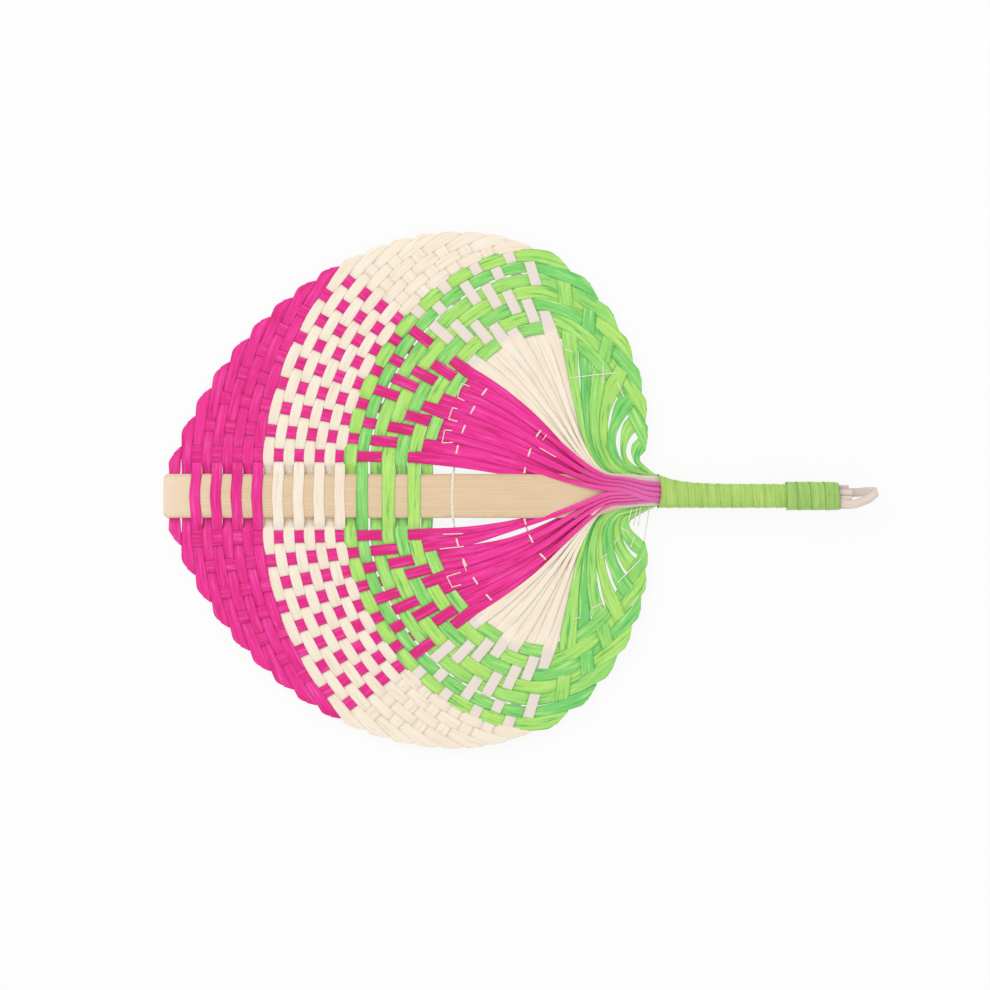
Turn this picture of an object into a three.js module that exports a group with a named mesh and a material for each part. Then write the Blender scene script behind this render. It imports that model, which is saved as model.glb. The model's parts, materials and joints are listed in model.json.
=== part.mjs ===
// Plaited hand fan, lying flat with its front face up.
// A bamboo slat carries 24 flat strips. Each strip leaves the handle, fans out over one half of the leaf,
// folds over at the leaf's edge, comes back as an arc across the slat, and does the same on the other half.
// Millimetres. +X runs along the slat to the handle, +Y across the leaf, +Z out of the front face.
// Inside the fan's own group, x is measured from the slat's tip and y from the slat's middle line.
import * as THREE from "three";

// Slat
const slatLength = 285.5;
const slatWidth = 18.6;
const slatThickness = 2.0;
const slatCornerRadius = 2.0;
const tongueWidth = 6.6;
const tongueTaperStart = 176;
const tongueTaperLength = 30;

// Strips
const magentaCount = 9;
const creamCount = 8;
const greenCount = 7;
const stripWidth = 5.4;
const stripThickness = 0.45;
const stripEdgeGap = 0.25;
const weaveClearance = 0.6;
const slatClearance = 0.3;
const slatLiftShare = 0.2;
const twillFrom = 20;

// Arcs: how far apart they cross the slat, and where the last one does
const outerPitch = 4.33;
const innerPitch = 5.4;
const lastArcX = 111.4;

// The last arc's arch on each half, and how far apart the fanned strips cross it
const archTopX = 161.2;
const archEndX = 203.4;
const archEndHeight = 23.6;
const upperArchHeight = 70.8;
const lowerArchHeight = 65.4;
const archLean = 8;
const archRise = 0.5;
const archShoulder = 0.46;
const archRoundness = 0.3;
const archFall = 0.5;
const archTuck = 0.2;
const firstStripHeight = 16.2;
const fanPitch = 5.25;
const greenFanPitch = 9.4;
const foldReach = 1.2;
const lobeCrowding = 0.78;

// The fanned strips: how each one turns from the one before, in degrees, and how they gather at the neck
const firstStripTurn = 1;
const stripTurn = 4.5;
const greenStripTurn = 11;
const lastArcSqueeze = 0.82;
const neckX = 190;
const lobeNeckX = 205;
const neckStripPitch = 1.1;
const gatherStart = 0.45;
const lobeGatherStart = 0.1;
const gatherEnd = 0.2;
const gatherSqueeze = 0.8;
const layerShare = 0.5;
const gatherSteps = 6;

// Handle
const collarX = 208.5;
const handleWidth = 10.3;
const handleHeight = 11.0;
const collarFlare = 2.2;
const collarShift = 2.2;
const flareLength = 8;
const bundleTaperLength = 20;
const collarStripPitch = 1.0;
const handleStripPitch = 0.72;
const layerPitch = 0.95;
const gatheredThickness = 0.6;
const sectionPower = 3;

// Windings of the handle
const wrapThickness = 0.7;
const wrapTurns = 12;
const endWrapLength = 18.8;
const endWrapTurns = 4;
const endWrapExtra = 1.9;
const endWrapOverlap = 4;
const windingGap = 0.5;
const windingSteps = 24;
const flatDepth = 0.5;

// Hanging loop
const loopLength = 16.4;
const loopWidth = 3.8;
const loopThickness = 0.6;
const loopOpening = 5.2;
const loopTailLength = 14;
const loopExitLength = 1;
const loopLimbHeight = 4.65;
const loopLimbOffset = 1.2;
const loopBendOffset = 1.8;
const loopBendSteps = 8;

// Binding threads
const threadRadius = 0.3;
const threadClearance = 0.3;
const innerRowShare = 0.12;
const outerRowShare = 0.42;
const greenRowShare = 0.2;
const threadSides = 6;

// How finely curves are cut, and the narrowest corner that a flat strip is widened for, as a cosine
const cornerSegments = 4;
const curveSamples = 60;
const leastCornerCosine = 0.5;

// Sizes that follow from the ones above
const stripCount = magentaCount + creamCount + greenCount;
const weaveRise = (stripThickness + weaveClearance) / 2;
const slatRise = slatThickness / 2 + slatClearance + stripThickness / 2;
const firstLayer = slatThickness / 2 + slatClearance + gatheredThickness / 2;
const plainCount = magentaCount + creamCount;
const wrapEndX = slatLength - endWrapLength;
const up = new THREE.Vector3(0, 0, 1);
const down = new THREE.Vector3(0, 0, -1);

const finishes = {
  magenta: { color: 0xec2891, roughness: 0.55 },
  cream: { color: 0xfaebda, roughness: 0.6 },
  green: { color: 0x84d85e, roughness: 0.55 },
  bamboo: { color: 0xe4c8a5, roughness: 0.5 },
  wrap: { color: 0xa5d064, roughness: 0.55 },
  darkWrap: { color: 0x7fb84e, roughness: 0.55 },
  pale: { color: 0xe4d4c4, roughness: 0.6 },
  thread: { color: 0xf0e4cd, roughness: 0.8 },
};

const fan = new THREE.Group();

function addPiece(name, geometry, finish) {
  const material = new THREE.MeshStandardMaterial({ ...finishes[finish], metalness: 0 });
  const mesh = new THREE.Mesh(geometry, material);
  mesh.name = name;
  fan.add(mesh);
}

// A closed body through a row of rings. Every ring is a list of as many points, in the same sense.
function bodyThroughRings(rings) {
  const count = rings[0].length;
  const positions = rings.flat().flatMap((point) => [point.x, point.y, point.z]);
  const faces = [];
  for (let ring = 0; ring + 1 < rings.length; ring += 1) {
    for (let corner = 0; corner < count; corner += 1) {
      const next = (corner + 1) % count;
      const here = ring * count;
      const there = here + count;
      faces.push(here + corner, here + next, there + next);
      faces.push(here + corner, there + next, there + corner);
    }
  }
  const last = (rings.length - 1) * count;
  for (let corner = 1; corner + 1 < count; corner += 1) {
    faces.push(0, corner + 1, corner);
    faces.push(last, last + corner, last + corner + 1);
  }
  const geometry = new THREE.BufferGeometry();
  geometry.setAttribute("position", new THREE.Float32BufferAttribute(positions, 3));
  geometry.setIndex(faces);
  geometry.computeVertexNormals();
  return geometry;
}

// One place along a strip: its middle, which way its width and its face point, and half of its section
function station(middle, across, normal, halfWidth, halfThickness) {
  return { middle, across, normal, halfWidth, halfThickness };
}

// A strip's section is a flat lozenge, thin at both edges.
function lozenge(place) {
  const side = place.across.clone().multiplyScalar(place.halfWidth);
  const face = place.normal.clone().multiplyScalar(place.halfThickness);
  return [
    place.middle.clone().add(side),
    place.middle.clone().add(face),
    place.middle.clone().sub(side),
    place.middle.clone().sub(face),
  ];
}

// Over and under: plain weave, but a twill over two on the innermost arcs, from number `twillFrom` on.
// Strips are counted from 1 at the leaf's tip. The slat counts as strip 0, and lies over the first arc too.
function isOver(strip, arc) {
  if (strip === 0) {
    return arc % 2 === 0 || arc === 1;
  }
  if (arc < twillFrom) {
    return (strip + arc) % 2 === 0;
  }
  return (arc - strip) % 4 >= 2;
}

// How far arc number `arc` lies outside the last arc
function arcOffset(arc) {
  const innerSteps = Math.min(stripCount - arc, greenCount - 1);
  const outerSteps = stripCount - arc - innerSteps;
  return innerSteps * innerPitch + outerSteps * outerPitch;
}

// 0 for the magenta and cream strips, rising to 1 over the green ones
function intoLobe(strip) {
  return Math.max(strip - plainCount, 0) / greenCount;
}

// The arcs lie closer together towards the lobe's end
function crowding(strip) {
  return THREE.MathUtils.lerp(1, lobeCrowding, intoLobe(strip));
}

// The last arc of one half: up from the first fanned strip to the arch's top, and down to the lobe's end
function archOf(height) {
  const lean = THREE.MathUtils.degToRad(archLean);
  const uphill = new THREE.Vector2(Math.sin(lean), Math.cos(lean));
  const start = new THREE.Vector2(lastArcX, firstStripHeight);
  const top = new THREE.Vector2(archTopX, height);
  const end = new THREE.Vector2(archEndX, archEndHeight);
  const rise = height - firstStripHeight;
  const fall = height - archEndHeight;
  const before = archTopX - lastArcX;
  const beyond = archEndX - archTopX;
  const path = new THREE.CurvePath();
  path.add(new THREE.CubicBezierCurve(
    start,
    start.clone().addScaledVector(uphill, rise * archRise),
    new THREE.Vector2(archTopX - before * archShoulder, height),
    top,
  ));
  path.add(new THREE.CubicBezierCurve(
    top,
    new THREE.Vector2(archTopX + beyond * archRoundness, height),
    new THREE.Vector2(archEndX - beyond * archTuck, archEndHeight + fall * archFall),
    end,
  ));
  return path;
}

// A running count over the strips, with one step between the plain ones and another over the green ones
function steppedBy(strip, plainStep, greenStep) {
  const plainSteps = Math.min(strip, plainCount) - 1;
  const greenSteps = Math.max(strip - plainCount, 0);
  return plainSteps * plainStep + greenSteps * greenStep;
}

// Where each fanned strip crosses the last arc: the point, and the strip's direction out to its fold.
// The pitches are stretched together, so that the last strip crosses at the lobe's end.
function crossingsOf(height) {
  const arch = archOf(height);
  const whole = steppedBy(stripCount, fanPitch, greenFanPitch);
  const crossings = [];
  for (let strip = 1; strip <= stripCount; strip += 1) {
    const along = steppedBy(strip, fanPitch, greenFanPitch) / whole;
    const angle = THREE.MathUtils.degToRad(firstStripTurn + steppedBy(strip, stripTurn, greenStripTurn));
    const out = new THREE.Vector2(-Math.cos(angle), Math.sin(angle));
    crossings.push({ point: arch.getPointAt(along), out });
  }
  return crossings;
}

// The crossing of a fanned strip with an arc, in the half's own plane, y away from the slat
function crossing(half, strip, arc) {
  const { point, out } = half.crossings[strip - 1];
  return point.clone().addScaledVector(out, arcOffset(arc) * crowding(strip));
}

// Where the strip folds over at the leaf's edge
function foldPoint(half, strip) {
  return crossing(half, strip, strip).addScaledVector(half.crossings[strip - 1].out, foldReach);
}

// The collar lies a little towards the upper half, and the handle's middle comes back to the slat's
function handleMiddle(x) {
  return collarShift * Math.exp(-Math.max(x - collarX, 0) / flareLength);
}

// How far apart two neighbouring strips lie, measured square to the first one's heading
function squareDistance(here, there, heading) {
  return Math.abs(there.clone().sub(here).cross(heading));
}

function inFan(half, flat, height) {
  return new THREE.Vector3(flat.x, flat.y * half.side, height);
}

// Half of a strip's width where its neighbours on either side are `spacing` away
function halfWidthFor(spacing) {
  return Math.min(stripWidth, spacing - stripEdgeGap) / 2;
}

function flatDirection(from, to) {
  return to.clone().sub(from).setZ(0).normalize();
}

// A flat station where the strip turns in its own plane: the section lies on the corner's bisector.
function flatStation(before, middle, after, normal, halfWidth, halfThickness = stripThickness / 2) {
  const arriving = flatDirection(before, middle);
  const leaving = flatDirection(middle, after);
  const heading = arriving.clone().add(leaving).normalize();
  const widening = 1 / Math.max(heading.dot(leaving), leastCornerCosine);
  const across = normal.clone().cross(heading);
  return station(middle, across, normal, halfWidth * widening, halfThickness);
}

// The fold at the leaf's edge: the strip turns over a crease that halves the angle of its two stretches.
function foldStation(before, middle, after, rising, halfWidth) {
  const arriving = flatDirection(before, middle);
  const leaving = flatDirection(middle, after);
  const outward = arriving.clone().sub(leaving).normalize();
  const across = outward.clone().cross(rising ? up : down);
  const halfTurn = arriving.angleTo(leaving) / 2;
  return station(middle, across, outward, halfWidth / Math.sin(halfTurn), stripThickness / 2);
}

// Layers in the handle: green next to the slat, then cream, then magenta; odd strips at the back
function colourOf(strip) {
  if (strip <= magentaCount) {
    return "magenta";
  }
  return strip <= magentaCount + creamCount ? "cream" : "green";
}

const layerOf = { green: 0, cream: 1, magenta: 2 };

function faceOf(strip) {
  return strip % 2 === 0 ? 1 : -1;
}

function layerHeight(strip) {
  return faceOf(strip) * (firstLayer + layerOf[colourOf(strip)] * layerPitch);
}

function firstOfColour(strip) {
  const starts = { magenta: 1, cream: magentaCount + 1, green: magentaCount + creamCount + 1 };
  return starts[colourOf(strip)];
}

// The strip's place in its row in the handle, counted out from the slat's middle line
function rowPlace(strip) {
  return Math.floor((strip - firstOfColour(strip)) / 2) + 0.5;
}

// The route from the last arc to the neck and on to the collar, in the half's own plane
function gatherCurve(half, strip) {
  const { point, out } = half.crossings[strip - 1];
  const shift = collarShift * half.side;
  const neckEnd = THREE.MathUtils.lerp(neckX, lobeNeckX, intoLobe(strip));
  const neck = new THREE.Vector2(neckEnd, rowPlace(strip) * neckStripPitch + shift);
  const collar = new THREE.Vector2(collarX, rowPlace(strip) * collarStripPitch + shift);
  const reach = point.distanceTo(neck);
  const bend = THREE.MathUtils.lerp(gatherStart, lobeGatherStart, intoLobe(strip));
  const route = new THREE.CurvePath();
  route.add(new THREE.CubicBezierCurve(
    point,
    point.clone().addScaledVector(out, -reach * bend),
    new THREE.Vector2(neckEnd - reach * gatherEnd, neck.y),
    neck,
  ));
  route.add(new THREE.LineCurve(neck, collar));
  return route;
}

function distanceToCurve(point, curve) {
  return Math.min(...curve.getSpacedPoints(curveSamples).map((there) => there.distanceTo(point)));
}

// The strip's height over the slat's mid-plane, a share of the way from the last arc to the collar
function gatherHeight(strip, share) {
  const start = isOver(strip, stripCount) ? weaveRise : -weaveRise;
  return THREE.MathUtils.lerp(start, layerHeight(strip), Math.min(share / layerShare, 1));
}

// Only strips on the same face of the slat can touch, and once in their layers only those of one colour
function gatherHalfWidth(half, strip, share) {
  const here = gatherCurve(half, strip).getPointAt(share);
  const inLayer = share >= layerShare;
  const spacings = [strip - 2, strip + 2]
    .filter((other) => other >= 1 && other <= stripCount)
    .filter((other) => !inLayer || colourOf(other) === colourOf(strip))
    .map((other) => distanceToCurve(here, gatherCurve(half, other)));
  const squeeze = inLayer ? gatherSqueeze : 1;
  return halfWidthFor(Math.min(...spacings, stripWidth)) * squeeze;
}

// The strip's stretch inside the handle, listed from the handle's end towards the leaf
function handlePlaces(half, strip) {
  return [slatLength, collarX + bundleTaperLength, collarX + flareLength].map((x) => {
    const taper = Math.min((x - collarX) / bundleTaperLength, 1);
    const pitch = THREE.MathUtils.lerp(collarStripPitch, handleStripPitch, taper);
    const offset = rowPlace(strip) * pitch + handleMiddle(x) * half.side;
    return {
      point: inFan(half, new THREE.Vector2(x, offset), layerHeight(strip)),
      halfWidth: (pitch - stripEdgeGap) / 2,
      halfThickness: gatheredThickness / 2,
    };
  });
}

// The strip's stretch between the collar and the last arc
function gatherPlaces(half, strip) {
  const gather = gatherCurve(half, strip);
  const places = [];
  for (let step = gatherSteps; step >= 1; step -= 1) {
    const share = step / gatherSteps;
    places.push({
      point: inFan(half, gather.getPointAt(share), gatherHeight(strip, share)),
      halfWidth: gatherHalfWidth(half, strip, share),
      halfThickness: THREE.MathUtils.lerp(stripThickness, gatheredThickness, share) / 2,
    });
  }
  return places;
}

// The strip's stretch across the arcs, from the last arc out to the one before its own fold
function weavePlaces(half, strip) {
  const { out } = half.crossings[strip - 1];
  const places = [];
  for (let arc = stripCount; arc > strip; arc -= 1) {
    const flat = crossing(half, strip, arc);
    const below = strip > 1 ? squareDistance(flat, crossing(half, strip - 1, arc), out) : stripWidth;
    const above = squareDistance(flat, crossing(half, strip + 1, arc), out);
    const room = arc === stripCount ? lastArcSqueeze : 1;
    places.push({
      point: inFan(half, flat, isOver(strip, arc) ? weaveRise : -weaveRise),
      halfWidth: halfWidthFor(Math.min(below, above)) * room,
      halfThickness: stripThickness / 2,
    });
  }
  return places;
}

// One half of a strip, from the handle's end to its fold
function radialPlaces(half, strip) {
  return [...handlePlaces(half, strip), ...gatherPlaces(half, strip), ...weavePlaces(half, strip)];
}

// Half of an arc's width where a fanned strip crosses it
function arcHalfWidth(half, arc, strip) {
  const here = crossing(half, strip, arc);
  const nextStrip = strip > 1 ? strip - 1 : strip + 1;
  const heading = crossing(half, nextStrip, arc).sub(here).normalize();
  const spacings = [arc - 1, arc + 1]
    .filter((other) => other >= 1 && other <= stripCount)
    .map((other) => squareDistance(here, crossing(half, strip, other), heading));
  return halfWidthFor(Math.min(...spacings));
}

// The arc's crossings on one half, from the fold to the one next to the slat
function arcPlaces(half, arc) {
  const places = [];
  for (let strip = arc - 1; strip >= 1; strip -= 1) {
    const height = isOver(strip, arc) ? -weaveRise : weaveRise;
    const point = inFan(half, crossing(half, strip, arc), height);
    places.push({ point, halfWidth: arcHalfWidth(half, arc, strip) });
  }
  return places;
}

// Where the arc leaves the first fanned strip, and where it passes the slat's edge
function slatPlaces(half, arc) {
  const x = lastArcX - arcOffset(arc);
  const slatEdge = slatWidth / 2 + slatClearance * 2;
  const stripEdge = firstStripHeight - stripWidth / 2 - stripEdgeGap;
  const height = isOver(0, arc) ? -slatRise : slatRise;
  const start = isOver(1, arc) ? -weaveRise : weaveRise;
  const leaving = arc > 1 ? THREE.MathUtils.lerp(start, height, slatLiftShare) : height;
  const halfWidth = arcHalfWidth(half, arc, 1);
  return [
    { point: new THREE.Vector3(x, stripEdge * half.side, leaving), halfWidth },
    { point: new THREE.Vector3(x, slatEdge * half.side, height), halfWidth },
  ];
}

// Stations for a row of places. `previous` and `following` are the points before and after the row;
// a row that starts or ends the strip has none there, and that end goes straight on.
function stationsAlong(route, normal, previous, following) {
  return route.map((place, index) => {
    const before = index > 0 ? route[index - 1].point : previous;
    const after = index + 1 < route.length ? route[index + 1].point : following;
    const from = before ?? place.point.clone().multiplyScalar(2).sub(after);
    const to = after ?? place.point.clone().multiplyScalar(2).sub(before);
    return flatStation(from, place.point, to, normal, place.halfWidth, place.halfThickness);
  });
}

function stripGeometry([upper, lower], strip) {
  const outward = radialPlaces(upper, strip);
  const homeward = radialPlaces(lower, strip).reverse();
  const upperFold = inFan(upper, foldPoint(upper, strip), 0);
  const lowerFold = inFan(lower, foldPoint(lower, strip), 0);
  const arc = [
    ...arcPlaces(upper, strip),
    ...slatPlaces(upper, strip),
    ...slatPlaces(lower, strip).reverse(),
    ...arcPlaces(lower, strip).reverse(),
  ].map((place) => ({ ...place, halfThickness: stripThickness / 2 }));
  const stations = [
    ...stationsAlong(outward, down, undefined, upperFold),
    foldStation(outward.at(-1).point, upperFold, arc[0].point, true, arc[0].halfWidth),
    ...stationsAlong(arc, up, upperFold, lowerFold),
    foldStation(arc.at(-1).point, lowerFold, homeward[0].point, false, arc.at(-1).halfWidth),
    ...stationsAlong(homeward, down, lowerFold, undefined),
  ];
  return bodyThroughRings(stations.map(lozenge));
}

function addStrips(halves) {
  for (let strip = 1; strip <= stripCount; strip += 1) {
    const colour = colourOf(strip);
    const number = strip - firstOfColour(strip) + 1;
    addPiece(`${colour}_strip_${number}`, stripGeometry(halves, strip), colour);
  }
}

// The slat: round corners at its tip, and a narrower tongue inside the handle
function addSlat() {
  const half = slatWidth / 2;
  const tongue = tongueWidth / 2;
  const tongueX = tongueTaperStart + tongueTaperLength;
  const outline = new THREE.Shape();
  outline.moveTo(slatCornerRadius, -half);
  outline.lineTo(tongueTaperStart, -half);
  outline.lineTo(tongueX, -tongue);
  outline.lineTo(slatLength, -tongue);
  outline.lineTo(slatLength, tongue);
  outline.lineTo(tongueX, tongue);
  outline.lineTo(tongueTaperStart, half);
  outline.lineTo(slatCornerRadius, half);
  outline.absarc(slatCornerRadius, half - slatCornerRadius, slatCornerRadius, Math.PI / 2, Math.PI, false);
  outline.absarc(slatCornerRadius, slatCornerRadius - half, slatCornerRadius, Math.PI, Math.PI * 1.5, false);
  const settings = { depth: slatThickness, bevelEnabled: false, curveSegments: cornerSegments };
  const geometry = new THREE.ExtrudeGeometry(outline, settings);
  geometry.translate(0, 0, -slatThickness / 2);
  addPiece("bamboo_slat", geometry, "bamboo");
}

// The handle's section is a rounded square: its two half sizes and its middle, at a distance from the tip
function handleSection(x, extra) {
  const flare = collarFlare * Math.exp(-Math.max(x - collarX, 0) / flareLength);
  return {
    across: handleWidth / 2 + flare + extra / 2,
    deep: handleHeight / 2 + extra / 2,
    middle: handleMiddle(x),
  };
}

function sectionPoint(section, angle, depth) {
  const c = Math.cos(angle);
  const s = Math.sin(angle);
  const radius = (Math.abs(c) ** sectionPower + Math.abs(s) ** sectionPower) ** (-1 / sectionPower);
  const floor = section.deep - flatDepth - depth;
  const y = c * radius * (section.across - depth) + section.middle;
  const z = Math.max(s * radius * (section.deep - depth), -floor);
  return { y, z };
}

// A flat strip wound round the handle. Its section has two corners on the outside and two on the inside.
function windingRings(startX, endX, turns, extra) {
  const pitch = (endX - startX) / (turns + 1);
  const width = pitch - windingGap;
  const rings = [];
  for (let step = 0; step <= turns * windingSteps; step += 1) {
    const angle = (step / windingSteps) * Math.PI * 2;
    const left = startX + windingGap / 2 + (pitch * step) / windingSteps;
    const corner = (x, depth) => {
      const { y, z } = sectionPoint(handleSection(x, extra), angle, depth);
      return new THREE.Vector3(x, y, z);
    };
    rings.push([
      corner(left, 0),
      corner(left, wrapThickness),
      corner(left + width, wrapThickness),
      corner(left + width, 0),
    ]);
  }
  return rings;
}

// The least distance between a turn's edge and the next turn's edge, on the rings' corners
function leastWindingGap(rings) {
  let least = Infinity;
  for (let step = 0; step + windingSteps < rings.length; step += 1) {
    const right = rings[step].slice(2);
    const left = rings[step + windingSteps].slice(0, 2);
    for (const here of right) {
      for (const there of left) {
        least = Math.min(least, here.distanceTo(there));
      }
    }
  }
  return least;
}

function addWinding(name, startX, endX, turns, extra, finish) {
  const rings = windingRings(startX, endX, turns, extra);
  console.log(`${name}: ${turns} turns, least gap to itself ${leastWindingGap(rings).toFixed(2)} mm`);
  addPiece(name, bodyThroughRings(rings), finish);
}

// The hanging loop's middle line: out along the handle's front, round its end and back along its back
function loopMiddles() {
  const endX = slatLength;
  const bendRadius = (loopOpening + loopThickness) / 2;
  const bendX = endX + loopLength - bendRadius - loopThickness / 2;
  const halfwayX = (endX + bendX) / 2;
  const halfwayHeight = (loopLimbHeight + bendRadius) / 2;
  const middles = [
    new THREE.Vector3(endX - loopTailLength, -loopLimbOffset, loopLimbHeight),
    new THREE.Vector3(endX + loopExitLength, -loopLimbOffset, loopLimbHeight),
    new THREE.Vector3(halfwayX, (loopBendOffset - loopLimbOffset) / 2, halfwayHeight),
  ];
  for (let step = 0; step <= loopBendSteps; step += 1) {
    const angle = Math.PI / 2 - (step / loopBendSteps) * Math.PI;
    const x = bendX + Math.cos(angle) * bendRadius;
    middles.push(new THREE.Vector3(x, loopBendOffset, Math.sin(angle) * bendRadius));
  }
  middles.push(new THREE.Vector3(halfwayX, (loopBendOffset + loopLimbOffset) / 2, -halfwayHeight));
  middles.push(new THREE.Vector3(endX + loopExitLength, loopLimbOffset, -loopLimbHeight));
  middles.push(new THREE.Vector3(endX - loopTailLength, loopLimbOffset, -loopLimbHeight));
  return middles;
}

function addHangingLoop() {
  const middles = loopMiddles();
  const across = new THREE.Vector3(0, 1, 0);
  const side = across.clone().multiplyScalar(loopWidth / 2);
  const rings = middles.map((middle, index) => {
    const before = middles[Math.max(index - 1, 0)];
    const after = middles[Math.min(index + 1, middles.length - 1)];
    const heading = after.clone().sub(before).setY(0).normalize();
    const face = heading.cross(across).multiplyScalar(loopThickness / 2);
    return [
      middle.clone().add(side).add(face),
      middle.clone().sub(side).add(face),
      middle.clone().sub(side).sub(face),
      middle.clone().add(side).sub(face),
    ];
  });
  addPiece("hanging_loop", bodyThroughRings(rings), "pale");
}

// A thread laid over the fanned strips, a share of the way from the last arc to the collar
function threadPoint(half, strip, share) {
  const near = [strip - 1, strip, strip + 1].filter((other) => other >= 1 && other <= stripCount);
  const highest = Math.max(...near.map((other) => gatherHeight(other, share)));
  const rise = highest + stripThickness / 2 + threadClearance + threadRadius;
  return inFan(half, gatherCurve(half, strip).getPointAt(share), rise);
}

function threadGeometry(points) {
  const curve = new THREE.CatmullRomCurve3(points, false, "centripetal");
  const section = new THREE.Shape();
  section.absarc(0, 0, threadRadius, 0, Math.PI * 2, false);
  return new THREE.ExtrudeGeometry(section, {
    steps: points.length * 2,
    curveSegments: threadSides,
    bevelEnabled: false,
    extrudePath: curve,
  });
}

function addBindingThread(name, halves, share) {
  const [upper, lower] = halves;
  const points = [];
  for (let strip = magentaCount; strip >= 1; strip -= 1) {
    points.push(threadPoint(upper, strip, share));
  }
  for (let strip = 1; strip <= magentaCount; strip += 1) {
    points.push(threadPoint(lower, strip, share));
  }
  addPiece(name, threadGeometry(points), "thread");
}

function addGreenThread(name, half) {
  const points = [];
  for (let strip = plainCount + 1; strip < stripCount; strip += 1) {
    points.push(threadPoint(half, strip, greenRowShare));
  }
  addPiece(name, threadGeometry(points), "thread");
}

const halves = [
  { side: 1, crossings: crossingsOf(upperArchHeight) },
  { side: -1, crossings: crossingsOf(lowerArchHeight) },
];
addSlat();
addStrips(halves);
addWinding("handle_wrap", collarX, wrapEndX, wrapTurns, 0, "wrap");
addWinding("handle_end_wrap", wrapEndX - endWrapOverlap, slatLength, endWrapTurns, endWrapExtra, "darkWrap");
addHangingLoop();
addBindingThread("binding_thread_inner", halves, innerRowShare);
addBindingThread("binding_thread_outer", halves, outerRowShare);
addGreenThread("green_thread_upper", halves[0]);
addGreenThread("green_thread_lower", halves[1]);

// The fan lies on its handle's end and on the first arc behind the slat's tip, so it is tipped a little.
const handleDrop = (handleHeight + endWrapExtra) / 2 - flatDepth;
const tipDrop = slatRise + stripThickness / 2;
const tipX = lastArcX - arcOffset(1);
fan.rotation.y = -Math.atan2(handleDrop - tipDrop, (wrapEndX + slatLength) / 2 - tipX);
fan.updateMatrixWorld(true);
const bounds = new THREE.Box3().setFromObject(fan, true);
const middle = bounds.getCenter(new THREE.Vector3());
fan.position.set(-middle.x, -middle.y, -bounds.min.z);

const group = new THREE.Group();
group.add(fan);
export default group;
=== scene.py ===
"""Plaited bamboo hand fan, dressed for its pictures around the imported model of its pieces.

The leaf is plaited from flat strips that fan out of the handle, fold over at the leaf's edge and come
back as arcs across a bamboo slat. Lengths are in millimetres in the fan's own frame: x from the slat's
tip towards the handle, y from the slat's middle line across the leaf, z out of the leaf's front face.
"""
import json
import logging
import math
import random
from dataclasses import dataclass, field, replace
from enum import Enum

import bpy
import numpy as np
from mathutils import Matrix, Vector
from mathutils.bvhtree import BVHTree


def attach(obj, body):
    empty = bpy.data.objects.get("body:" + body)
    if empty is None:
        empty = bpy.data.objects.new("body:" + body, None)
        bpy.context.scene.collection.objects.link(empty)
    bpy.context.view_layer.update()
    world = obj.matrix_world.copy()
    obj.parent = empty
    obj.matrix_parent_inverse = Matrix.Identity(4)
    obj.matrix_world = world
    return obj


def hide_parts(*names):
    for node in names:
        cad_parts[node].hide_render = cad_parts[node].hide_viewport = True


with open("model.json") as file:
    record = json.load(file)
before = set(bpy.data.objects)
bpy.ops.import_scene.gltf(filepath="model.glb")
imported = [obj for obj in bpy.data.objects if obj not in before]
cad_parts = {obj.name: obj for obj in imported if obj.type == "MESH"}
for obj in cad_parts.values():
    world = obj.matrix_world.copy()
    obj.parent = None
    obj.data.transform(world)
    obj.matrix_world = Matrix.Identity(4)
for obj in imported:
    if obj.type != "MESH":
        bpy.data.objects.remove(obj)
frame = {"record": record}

LOG = logging.getLogger("hand_fan")
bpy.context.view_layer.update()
METRES = 0.001
BODY = "root"
TINY = 1e-9
SHARP_EDGE = math.radians(50)
UPWARD = np.array([0.0, 0.0, 1.0])
Amount = float | np.ndarray
Way = list[tuple[float, float]]
Span = tuple[float, float, float, float]
Feed = float | tuple[float, ...] | bpy.types.NodeSocket


class Hue(Enum):
    """The three dyes of the plaited strips, from the leaf's tip to its lobes."""

    MAGENTA = "magenta"
    CREAM = "cream"
    GREEN = "green"


class Side(Enum):
    """The two halves of the leaf, on either side of the slat."""

    UPPER = 1
    LOWER = -1


def linear(code: int) -> tuple[float, float, float, float]:
    """Turns a screen colour into the linear colour that a shader works with.

    Args:
        code: The colour as 0xRRGGBB.

    Returns:
        Red, green, blue and an alpha of 1.
    """
    channels = [((code >> shift) & 0xFF) / 255 for shift in (16, 8, 0)]
    return tuple(c / 12.92 if c <= 0.04045 else ((c + 0.055) / 1.055) ** 2.4 for c in channels) + (1.0,)


def unit(vectors: np.ndarray) -> np.ndarray:
    """Scales each row of an array to length 1."""
    return vectors / np.maximum(np.linalg.norm(vectors, axis=-1, keepdims=True), TINY)


def smooth(share: Amount) -> Amount:
    """Eases a share from 0 to 1 with no corner at either end, and holds it there beyond them."""
    held = np.clip(share, 0.0, 1.0)
    return held * held * (3 - 2 * held)


def eased(shares: np.ndarray, span: tuple[float, float]) -> np.ndarray:
    """Eases from 0 to 1 over a span of shares, given as its start and its length."""
    return smooth((shares - span[0]) / span[1])


def mix(start: Amount, end: Amount, share: Amount) -> Amount:
    """Gives the value a share of the way from start to end."""
    return start + (end - start) * share


def run_of(line: np.ndarray) -> np.ndarray:
    """Measures a line of points from its first one to each of them."""
    return np.concatenate([[0.0], np.cumsum(np.linalg.norm(np.diff(line, axis=0), axis=1))])


def length_of(line: np.ndarray) -> float:
    """Measures the whole of a line of points."""
    return float(np.linalg.norm(np.diff(line, axis=0), axis=1).sum())


def sideways(line: np.ndarray) -> np.ndarray:
    """Gives the direction square to a flat line, on its left, at each of its points."""
    heading = unit(np.gradient(line, axis=0))
    return np.column_stack([-heading[:, 1], heading[:, 0]])


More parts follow.
